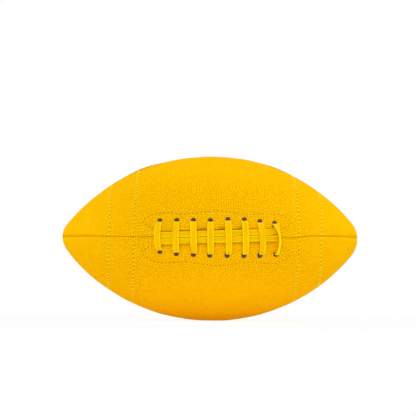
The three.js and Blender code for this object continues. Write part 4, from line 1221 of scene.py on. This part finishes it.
class LaceRoute:
    """The lace's corners. Each holds a place along the ball, an arc from the middle, a height over
    the cover, how far from it the lace starts to turn, the lace's width as a share, its roll, and
    whether its width lies round the ball where it goes in or out."""

    def __init__(self, lacing):
        self.lacing = lacing
        sizes = lacing.sizes
        half = sizes.thickness / 2
        self.apart = half + PASS_GAP / 2
        self.low = LACE_CLEAR + half
        self.sunk = self.low - sizes.trough
        self.over = self.sunk + sizes.thickness + LACE_CLEAR
        self.high = self.low + sizes.thickness + LACE_CLEAR
        self.corners = []

    def corner(self, x, arc, height, turn=LACE_BEND, width=1.0, roll=0.0, round_ball=0.0):
        """Adds a corner."""
        self.corners.append((x, arc, height, turn, width, roll, round_ball))

    def x(self, index, side=1):
        """Where along the ball a cross lace goes through its hole."""
        return self.lacing.hole(index, side)[0] + (FEET[index] if side < 0 else 0)

    def near(self, index, side):
        """Where a cross lace goes through its hole, at the side of the hole towards the seam."""
        return self.lacing.hole(index, side)[1] - side * self.apart

    def inside(self, index, side, depth, roll=0.0):
        """Where a cross lace comes to its hole on the inside."""
        width = CRUMPLE if roll else PINCH
        self.corner(self.x(index, side), self.near(index, side), -depth, width=width, roll=roll)

    def cross(self, index, foot, crown, roll):
        """A cross lace from its lower hole to its upper one, bowed to one side. One that is rolled
        on edge comes out of its lower hole like that, and lies flat again at its upper one."""
        bottom = np.array([self.x(index, -1), self.near(index, -1)])
        top = np.array([self.x(index, 1), self.near(index, 1)])
        self.corner(*bottom, foot, width=CRUMPLE if roll else PINCH, roll=roll)
        for share in CROSS_SHARES:
            x, arc = (bottom + top) / 2 + share * (top - bottom) / 2
            swell = 1 - share**2
            height = foot + (crown - foot) * min(1, CROWN_SHARE * swell)
            turned = roll * (math.sqrt(swell) if share > 0 else 1)
            width = 1 - (1 - CRUMPLE) * share**2 if roll and share < 0 else 1.0
            self.corner(x + BOWS[index] * swell, arc, height, LACE_CURVE, width, turned)
        self.corner(*top, foot, width=PINCH)

    def slant_to(self, index, depth):
        """The end of an inner run that slants to a cross lace's lower hole."""
        self.corner(self.x(index, -1), self.near(index, -1) + LACE_LEAD, -depth)
        self.inside(index, -1, depth, LAST_ROLL if index == LAST else 0.0)

    def strand_end(self, x, side, height, round_ball=1.0):
        """A corner of a strand's way through its slit."""
        arc = self.lacing.strands_meet(x) + side * self.lacing.strand
        self.corner(x, arc, height, width=STRAND_SHARE, round_ball=round_ball)

    def left_end(self):
        """A tail, the first cross lace, and a deep run back under it to the lower strand."""
        self.corner(self.x(0, -1), self.near(0, -1) - LACE_TAIL, -UNDER_RUN, 0)
        self.inside(0, -1, UNDER_RUN)
        self.cross(0, self.low, self.over, 0)
        self.inside(0, 1, DEEP_RUN)
        self.strand_end(self.x(0) + LEFT_SLIT, -1, -DEEP_RUN, 0.0)

    def strands(self):
        """The lower strand to the right, across on the inside, and the upper strand to the left."""
        left = self.x(0) + LEFT_SLIT
        right = self.x(LAST) + RIGHT_SLIT
        self.strand_end(left, -1, self.sunk)
        self.strand_end(right, -1, self.sunk)
        self.strand_end(right, -1, -UNDER_RUN, 0.0)
        last = self.x(LAST)
        shared = self.near(LAST, 1) - SHARED_ROOM
        self.corner(last, shared, -UNDER_RUN, width=PINCH)
        self.corner(last, shared, self.low, width=CRUMPLE)
        turned = ((last + CURL_AT, CURL_BEND, CRUMPLE), (last - CURL_FROM, LACE_CURVE, STRAND_SHARE))
        for x, bend, width in turned:
            self.corner(x, self.lacing.strands_meet(x) + self.lacing.strand, self.sunk, bend, width)
        self.strand_end(left, 1, self.sunk)
        self.strand_end(left, 1, -UNDER_RUN)

    def crosses(self):
        """The other cross laces from left to right, each joined to the next by a slanting inner run."""
        self.slant_to(1, UNDER_RUN)
        for index in range(1, LAST):
            self.cross(index, self.low, self.over, 0)
            depth = UNDER_RUN if index + 1 < LAST else DEEP_RUN
            self.inside(index, 1, depth)
            self.corner(self.x(index), self.near(index, 1) - LACE_LEAD, -depth)
            self.slant_to(index + 1, depth)
        self.cross(LAST, self.high, self.high, LAST_ROLL)
        self.inside(LAST, 1, UNDER_RUN)
        self.corner(self.x(LAST), self.near(LAST, 1) + LACE_TAIL, -UNDER_RUN, 0)


def evened(rows, times):
    """Rows that are evened out with their neighbours a number of times, except at both ends."""
    for _ in range(times):
        rows[1:-1] = (rows[:-2] + 2 * rows[1:-1] + rows[2:]) / 4
    return rows


def rounded_route(corners):
    """The route as evenly spaced points, with a curve at each corner that leaves room for the next.
    Each row holds a corner's values without its turn."""
    rows = np.delete(np.array(corners), 3, axis=1)
    turns = np.array([corner[3] for corner in corners])
    runs = np.linalg.norm(np.diff(rows[:, :3], axis=0), axis=1)
    room = np.minimum(1, TURN_SHARE * runs / np.maximum(turns[:-1] + turns[1:], LEAST_TURN))
    shares = np.linspace(0, 1, TURN_STEPS + 1)[1:, None]
    route = [rows[:1]]
    for i in range(1, len(rows) - 1):
        turn = turns[i] * min(room[i - 1], room[i])
        enter = rows[i] + (rows[i - 1] - rows[i]) * turn / runs[i - 1]
        leave = rows[i] + (rows[i + 1] - rows[i]) * turn / runs[i]
        route.append(route[-1][-1:] + (enter - route[-1][-1:]) * shares)
        route.append((1 - shares) ** 2 * enter + 2 * shares * (1 - shares) * rows[i] + shares**2 * leave)
    route.append(route[-1][-1:] + (rows[-1:] - route[-1][-1:]) * shares)
    route = np.concatenate(route)
    passed = np.concatenate([[0], np.cumsum(np.linalg.norm(np.diff(route[:, :3], axis=0), axis=1))])
    even = np.linspace(0, passed[-1], math.ceil(passed[-1] / LACE_STEP) + 1)
    route = np.stack([np.interp(even, passed, column) for column in route.T], axis=1)
    return evened(route, ROUTE_EVENED)


def unit(vectors):
    """Vectors of length one."""
    return vectors / np.linalg.norm(vectors, axis=-1, keepdims=True)


def squared(across, ahead):
    """Directions across a route, made square to the directions along it."""
    return unit(across - ahead * np.sum(across * ahead, axis=1, keepdims=True))


def lace_rings(ball, route, section):
    """Rings of the lace along its route. Its width lies in the surface, and along the ball or round
    it where it goes steeply in or out."""
    x, arc, height, width, roll, round_ball = route.T
    turn = arc / ball.radius_at(x)
    points = ball.point(x, turn, -height)
    normals = ball.normal(x, turn)
    ahead = unit(np.gradient(points, axis=0))
    level = np.cross(normals, ahead)
    steep = np.linalg.norm(level, axis=1) < STEEP
    share = round_ball[:, None]
    across = np.where(steep[:, None], (1 - share) * (1, 0, 0) + share * ball.around(turn), level)
    across = squared(across, ahead)
    for i in range(1, len(across)):
        if np.dot(across[i], across[i - 1]) < 0:
            across[i] = -across[i]
    across = squared(evened(across, TWIST_EVENED), ahead)
    up = np.cross(ahead, across)
    cosine = np.cos(roll)[:, None]
    sine = np.sin(roll)[:, None]
    wide = cosine * across + sine * up
    high = cosine * up - sine * across
    return (
        points[:, None]
        + wide[:, None] * (width[:, None] * section[:, 0])[..., None]
        + high[:, None] * section[:, 1][:, None]
    )


def lace_section(sizes):
    """The lace's section, run round anticlockwise: across its width and along its thickness."""
    top = [*LACE_SECTION, *((-a, b) for a, b in LACE_SECTION[-2::-1])]
    bottom = [(a, -b) for a, b in top[-2:0:-1]]
    return np.array(top + bottom) * (sizes.width / 2, sizes.thickness / 2)


# Valve

VALVE_FROM_SEAM = 22 * MM  # along the cover from the rear seam
VALVE_HOLE = 4.9  # radius, in mm like the profiles below, 0.3 mm clear of the stem
VALVE_FLARES = ((0, -6), (0, -0.7), (0.25, -0.15), (1.2, 2))  # by how much wider it is, and heights
VALVE_STEPS = 48
VALVE_BODY = (
    (2.6, -0.9), (2.75, -0.6), (3.1, -0.5), (4.1, -0.5), (4.5, -0.65), (4.6, -1.1),
    (4.6, -6.5), (8.7, -6.5), (9, -6.8), (9, -7.8), (8.7, -8.1), (4.6, -8.1),
    (4.6, -20.8), (4.3, -21.1), (0.9, -21.1), (0.9, -19.6), (2.6, -19.6),
)
VALVE_CORE = (
    (0.25, -2.6), (0.35, -1.5), (0.7, -0.95), (1.2, -0.78), (1.9, -0.8), (2.2, -1),
    (2.3, -1.4), (2.3, -19.1), (2.1, -19.3), (0.25, -19.3),
)


def turned_rings(axes, profile):
    """Rings turned about the outward axis from a profile of radii and heights in mm."""
    middle, along, around, out = axes
    angles = angles_round(VALVE_STEPS)
    spokes = np.outer(np.cos(angles), along) + np.outer(np.sin(angles), around)
    return np.array([middle + spokes * (radius * MM) + out * (height * MM) for radius, height in profile])


def lathe_piece(name, axes, profile, material):
    """A ring turned from a closed profile, seated on the cover."""
    rings = turned_rings(axes, profile)
    index = np.arange(rings[..., 0].size).reshape(rings.shape[:2])
    below = np.roll(index, -1, axis=0)
    faces = quads(index, below, np.roll(below, -1, axis=1), np.roll(index, -1, axis=1))
    return mesh_piece(name, rings.reshape(-1, 3), faces, [material])


def valve_axes(relief):
    """The valve's seat on the rear upper panel."""
    x = relief.lacing.sizes.at
    turn = math.pi - VALVE_FROM_SEAM / float(relief.ball.radius_at(x))
    return local_axes(relief.ball, x, turn)


def valve_cutter(relief, colours):
    """A plug for the valve's hole, with a small flare at the cover."""
    profile = [(VALVE_HOLE + flare, height) for flare, height in VALVE_FLARES]
    points, faces = rings_solid(turned_rings(valve_axes(relief), profile))
    return mesh_piece("valve_hole", points, faces, [pierced_leather_with_hole_shade(colours)])


# Stage

CAMERA_AWAY = 1973 * MM
CAMERA_AZIMUTH = math.radians(-1.5)
CAMERA_ELEVATION = math.radians(-1.2)
CAMERA_ROLL = math.radians(0.39)
CAMERA_LENS = 180  # millimetres
AIM = Vector((-2.2, 0, 29.1)) * MM  # from the ball's middle to where the camera looks
FLOOR_RINGS = (0.25, 0.5, 1, 2, 4, 8, 14)  # radii in metres
FLOOR_SIDES = 64
SHADOW_NEAR = 0.16  # metres from the ball's middle, within which the floor's shadow shows in full
SHADOW_FAR = 0.5
SHADOW_SHARE = 0.15
FLOOR_COLOUR = "#e0e0e0"
GLOW_COLOUR = "#ffe8c4"
GLOW = 0.31  # warm light that comes up through the floor below the ball, as from a light table
GLOW_NEAR = 0.04  # metres from the ball's middle, within which the glow is full
GLOW_FAR = 0.4
TENT_FRONT = 1.38  # strength of the light from all round, in front of the ball
TENT_BACK = 0.3  # and behind it
SOFTBOX_SIZE = (1, 1)
# Softboxes above the ball's two ends and a little behind it: place in metres, and watts
SOFTBOXES = {"left_softbox": ((-1.6, 0.6, 0.8), 8), "right_softbox": ((1.4, 0.2, 1.3), 9.3)}


def seen_directly(tree):
    """1 for rays that show a surface to the eye, straight or by reflection or refraction."""
    path = put(tree, "ShaderNodeLightPath")
    either = path.outputs["Is Camera Ray"]
    for name in ("Is Glossy Ray", "Is Transmission Ray"):
        either = put(tree, "ShaderNodeMath", {0: either, 1: path.outputs[name]}, operation="MAXIMUM")
    return either


def frosted_floor():
    """Frosted white acrylic of a light table: bright to the eye, and grey only in the ball's shadow."""
    material = bpy.data.materials.new("frosted_white_acrylic")
    material.use_nodes = True
    tree = material.node_tree
    place = put(tree, "ShaderNodeTexCoord").outputs["Object"]
    away = put(tree, "ShaderNodeVectorMath", {0: place}, operation="LENGTH")
    lit, white = (
        put(
            tree,
            "ShaderNodeMapRange",
            {0: away, 1: near, 2: far, 3: there, 4: beyond},
            interpolation_type="SMOOTHSTEP",
        )
        for near, far, there, beyond in (
            (GLOW_NEAR, GLOW_FAR, GLOW, 0),
            (SHADOW_NEAR, SHADOW_FAR, 1 - SHADOW_SHARE, 1),
        )
    )
    acrylic = tree.nodes["Principled BSDF"]
    fill(tree, acrylic, {
        "Base Color": linear(FLOOR_COLOUR),
        "Roughness": 0.9,
        "Specular IOR Level": 0,
        "Emission Color": linear(GLOW_COLOUR),
        "Emission Strength": lit,
    })
    share = put(tree, "ShaderNodeMath", {0: white, 1: seen_directly(tree)}, operation="MULTIPLY")
    bright = put(tree, "ShaderNodeEmission", {"Color": (1, 1, 1), "Strength": 1})
    both = put(tree, "ShaderNodeMixShader", {0: share, 1: acrylic, 2: bright})
    fill(tree, tree.nodes["Material Output"], {"Surface": both})
    return material


def floor_disc():
    """A round floor, wide enough to meet the white background at the horizon."""
    angles = angles_round(FLOOR_SIDES)
    circle = stacked(np.cos(angles), np.sin(angles), 0)
    points = np.concatenate([np.zeros((1, 3)), *(circle * radius for radius in FLOOR_RINGS)])
    index = 1 + np.arange(len(FLOOR_RINGS) * FLOOR_SIDES).reshape(len(FLOOR_RINGS), FLOOR_SIDES)
    following = np.roll(index, -1, axis=1)
    faces = quads(index[:-1], index[1:], following[1:], following[:-1]).tolist()
    faces.extend([0, int(a), int(b)] for a, b in zip(index[0], following[0]))
    return mesh_piece("white_floor", points, faces, [frosted_floor()])


def white_world():
    """A tent all round, which lights the ball more from the front and is white to the eye."""
    world = bpy.data.worlds.new("white_tent")
    world.use_nodes = True
    tree = world.node_tree
    place = put(tree, "ShaderNodeTexCoord").outputs["Object"]
    behind = put(tree, "ShaderNodeSeparateXYZ", {0: place}).outputs["Y"]
    lit = put(tree, "ShaderNodeMapRange", {0: behind, 1: -1, 2: 1, 3: TENT_FRONT, 4: TENT_BACK})
    level = put(tree, "ShaderNodeMapRange", {0: seen_directly(tree), 3: lit, 4: 1})
    fill(tree, tree.nodes["Background"], {"Color": (1, 1, 1), "Strength": level})
    return world


def facing_matrix(eye, target, roll):
    """The placing of a camera or lamp at eye that looks at target."""
    back = (eye - target).normalized()
    right = Vector((0, 0, 1)).cross(back).normalized()
    turned = Matrix((right, back.cross(right), back)).transposed().to_4x4()
    return Matrix.Translation(eye) @ turned @ Matrix.Rotation(roll, 4, "Z")


def add_camera(middle):
    """The camera, at the photograph's viewing angle."""
    level = math.cos(CAMERA_ELEVATION)
    away = Vector((
        math.sin(CAMERA_AZIMUTH) * level,
        -math.cos(CAMERA_AZIMUTH) * level,
        math.sin(CAMERA_ELEVATION),
    ))
    data = bpy.data.cameras.new("photo_camera")
    data.lens = CAMERA_LENS
    camera = linked("photo_camera", data)
    camera.matrix_world = facing_matrix(middle + away * CAMERA_AWAY, middle + AIM, CAMERA_ROLL)
    bpy.context.scene.camera = camera


def add_softboxes(middle):
    """Two wide softboxes, above the ball's two ends and a little behind it."""
    for name, (place, watts) in SOFTBOXES.items():
        data = bpy.data.lights.new(name, "AREA")
        data.shape = "RECTANGLE"
        data.size, data.size_y = SOFTBOX_SIZE
        data.energy = watts
        lamp = linked(name, data)
        lamp.matrix_world = facing_matrix(Vector(place), middle, 0)


# Operators

class FOOTBALL_OT_stage(bpy.types.Operator):
    """Set up the white floor, the light and the camera"""

    bl_idname = "football.stage"
    bl_label = "Stage"

    def execute(self, context):
        middle = Vector((0, 0, Ball(context.scene.football_ball).axis))
        floor_disc()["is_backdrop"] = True
        context.scene.world = white_world()
        context.scene.view_settings.view_transform = "Standard"
        add_softboxes(middle)
        add_camera(middle)
        return {"FINISHED"}


class FOOTBALL_OT_cover_panels(bpy.types.Operator):
    """Build the four cover panels, with the lace holes and the valve's hole"""

    bl_idname = "football.cover_panels"
    bl_label = "Cover panels"

    def execute(self, context):
        relief = Relief(context.scene)
        colours = context.scene.football_colours
        for name, start, laced in QUARTERS:
            piece = panel_piece(relief, colours, name, start, laced)
            if laced:
                cut(piece, hole_cutter(relief, colours, laced))
            if name == "rear_upper":
                cut(piece, valve_cutter(relief, colours))
            finish_piece(piece, f"{name}_panel")
        return {"FINISHED"}


class FOOTBALL_OT_stripes(bpy.types.Operator):
    """Build the four stripe bands"""

    bl_idname = "football.stripes"
    bl_label = "Stripe bands"

    def execute(self, context):
        relief = Relief(context.scene)
        for side_name, side in (("left", -1), ("right", 1)):
            for name, start, laced in LACE_QUARTERS:
                node = f"{side_name}_stripe_{name}"
                piece = stripe_piece(relief, context.scene.football_colours, node, side, start, laced)
                finish_piece(piece, node)
        return {"FINISHED"}


class FOOTBALL_OT_stripe_stitching(bpy.types.Operator):
    """Sew the slanted stitches along both edges of each stripe"""

    bl_idname = "football.stripe_stitching"
    bl_label = "Stripe stitching"

    def execute(self, context):
        relief = Relief(context.scene)
        stripes = relief.stripes
        colours = context.scene.football_colours
        values = {
            "Pitch": stripes.pitch,
            "Length": stripes.stitch,
            "Thread": stripes.thread,
            "Rise": STITCH_RISE * stripes.thread,
            "Slant": stripes.slant,
            "Needle Hole": STRIPE_NEEDLE * stripes.thread,
            "Thread Finish": twisted_polyester_thread(colours),
            "Hole Finish": pierced_leather_with_hole_shade(colours),
        }
        names = ("left_outer", "left_inner", "right_inner", "right_outer")
        for row, (row_name, joint) in enumerate(zip(names, relief.joints)):
            for name, start, laced in LACE_QUARTERS:
                turn = np.linspace(*relief.panel_turns(joint, start, stripes.pitch / 2), ROW_POINTS)
                x = relief.leaned(np.full(turn.shape, joint), turn)
                depth = relief.front_depth(x, turn, joint) + STITCH_SETTLE
                seeded = {**values, "Seed": STITCH_SEED + 2 * row + (laced > 0)}
                sew(relief, f"{row_name}_stitching_{name}", x, turn, depth, seeded)
        return {"FINISHED"}


class FOOTBALL_OT_facing_stitching(bpy.types.Operator):
    """Sew the dotted stitching round the lacing"""

    bl_idname = "football.facing_stitching"
    bl_label = "Facing stitching"

    def execute(self, context):
        relief = Relief(context.scene)
        lacing = context.scene.football_lacing
        colours = context.scene.football_colours
        values = {
            "Pitch": lacing.stitch_pitch,
            "Length": lacing.stitch,
            "Thread": lacing.thread,
            "Rise": 0.0,
            "Slant": 0.0,
            "Needle Hole": FACING_NEEDLE * lacing.thread,
            "Seed": STITCH_SEED,
            "Thread Finish": bonded_nylon_thread(colours),
            "Hole Finish": pierced_leather_with_hole_shade(colours),
        }
        for name, _, laced in LACE_QUARTERS:
            x, arc = relief.lacing.stitch_line(laced)
            turn = arc / relief.ball.radius_at(x)
            sink = FACING_SINK * smooth_step(*FACING_SINK_FROM, x - lacing.at)
            depth = relief.front_depth(x, turn, x) + sink
            sew(relief, f"{name}_facing_stitching", x, turn, depth, values)
        return {"FINISHED"}


class FOOTBALL_OT_lace(bpy.types.Operator):
    """Thread the one flat lace through its sixteen holes"""

    bl_idname = "football.lace"
    bl_label = "Lace"

    def execute(self, context):
        relief = Relief(context.scene)
        lacing = relief.lacing
        laid = LaceRoute(lacing)
        laid.left_end()
        laid.strands()
        laid.crosses()
        route = rounded_route(laid.corners)
        section = lace_section(lacing.sizes)
        rings = lace_rings(relief.ball, route, section)
        points, faces = rings_solid(rings)
        material = extruded_vinyl_lace(context.scene.football_colours)
        piece = mesh_piece("lace_strip", points, faces, [material])
        count = len(rings)
        keep_attribute(piece, "across", np.tile(section[:, 0], count))
        keep_attribute(piece, "along", np.repeat(np.arange(count) * LACE_STEP, len(section)))
        # Painted shade on the lace where it lies low, eased at the strands' right ends
        spared = STRAND_SHADE_EASE_SHARE * smooth_step(*STRAND_SHADE_EASE, route[:, 0] - lacing.sizes.at)
        low_shade = (1 - smooth_step(*LOW_SHADE_HEIGHTS, route[:, 2])) * (1 - spared)
        keep_attribute(piece, "low_shade", np.repeat(low_shade, len(section)))
        finish_piece(piece, "lace")
        return {"FINISHED"}


class FOOTBALL_OT_valve(bpy.types.Operator):
    """Seat the rubber valve and its needle core in the rear upper panel"""

    bl_idname = "football.valve"
    bl_label = "Valve"

    def execute(self, context):
        axes = valve_axes(Relief(context.scene))
        rubber = moulded_butyl_rubber(context.scene.football_colours)
        for node, profile in (("valve_body", VALVE_BODY), ("valve_core", VALVE_CORE)):
            finish_piece(lathe_piece(f"{node}_rubber", axes, profile, rubber), node)
        return {"FINISHED"}


class FOOTBALL_OT_inner_pieces(bpy.types.Operator):
    """Give the linings, facings, tongue, bladder and seam threads their materials"""

    bl_idname = "football.inner_pieces"
    bl_label = "Inner pieces"

    def execute(self, context):
        colours = context.scene.football_colours
        finishes = {
            "_lining": plain_woven_canvas,
            "_lace_facing": bonded_fibre_backing,
            "tongue": bonded_fibre_backing,
            "bladder": moulded_butyl_rubber,
            "_seam_thread": twisted_polyester_thread,
        }
        for name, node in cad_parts.items():
            for ending, material_for in finishes.items():
                if name.endswith(ending):
                    node.data.materials.clear()
                    node.data.materials.append(material_for(colours))
        return {"FINISHED"}


class FOOTBALL_PT_sidebar(bpy.types.Panel):
    """The football's pieces, sizes and colours"""

    bl_idname = "FOOTBALL_PT_sidebar"
    bl_label = "Laced Football"
    bl_space_type = "VIEW_3D"
    bl_region_type = "UI"
    bl_category = "Football"

    def draw(self, context):
        for operator in OPERATORS:
            self.layout.operator(operator.bl_idname)
        for name in PROPERTY_GROUPS:
            group = getattr(context.scene, name)
            box = self.layout.box()
            for key in group.__annotations__:
                box.prop(group, key)


PROPERTY_GROUPS = {
    "football_ball": BallSizes,
    "football_stripes": StripeSizes,
    "football_lacing": LacingSizes,
    "football_colours": FootballColours,
}
OPERATORS = (
    FOOTBALL_OT_stage,
    FOOTBALL_OT_cover_panels,
    FOOTBALL_OT_stripes,
    FOOTBALL_OT_stripe_stitching,
    FOOTBALL_OT_facing_stitching,
    FOOTBALL_OT_lace,
    FOOTBALL_OT_valve,
    FOOTBALL_OT_inner_pieces,
)


def register():
    """Registers the properties, the operators and the sidebar panel."""
    for name, group in PROPERTY_GROUPS.items():
        bpy.utils.register_class(group)
        setattr(bpy.types.Scene, name, bpy.props.PointerProperty(type=group))
    for operator in OPERATORS:
        bpy.utils.register_class(operator)
    bpy.utils.register_class(FOOTBALL_PT_sidebar)


def unregister():
    """Takes back what register added."""
    bpy.utils.unregister_class(FOOTBALL_PT_sidebar)
    for operator in reversed(OPERATORS):
        bpy.utils.unregister_class(operator)
    for name, group in PROPERTY_GROUPS.items():
        delattr(bpy.types.Scene, name)
        bpy.utils.unregister_class(group)


def main():
    """Builds the whole football."""
    register()
    bpy.ops.football.stage()
    bpy.ops.football.cover_panels()
    bpy.ops.football.stripes()
    bpy.ops.football.stripe_stitching()
    bpy.ops.football.facing_stitching()
    bpy.ops.football.lace()
    bpy.ops.football.valve()
    bpy.ops.football.inner_pieces()
    boxes = {"cad": CAD_BOX, "visual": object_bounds()}
    {name: [list(corner) for corner in box] for name, box in boxes.items()}


if __name__ == "__main__":
    main()
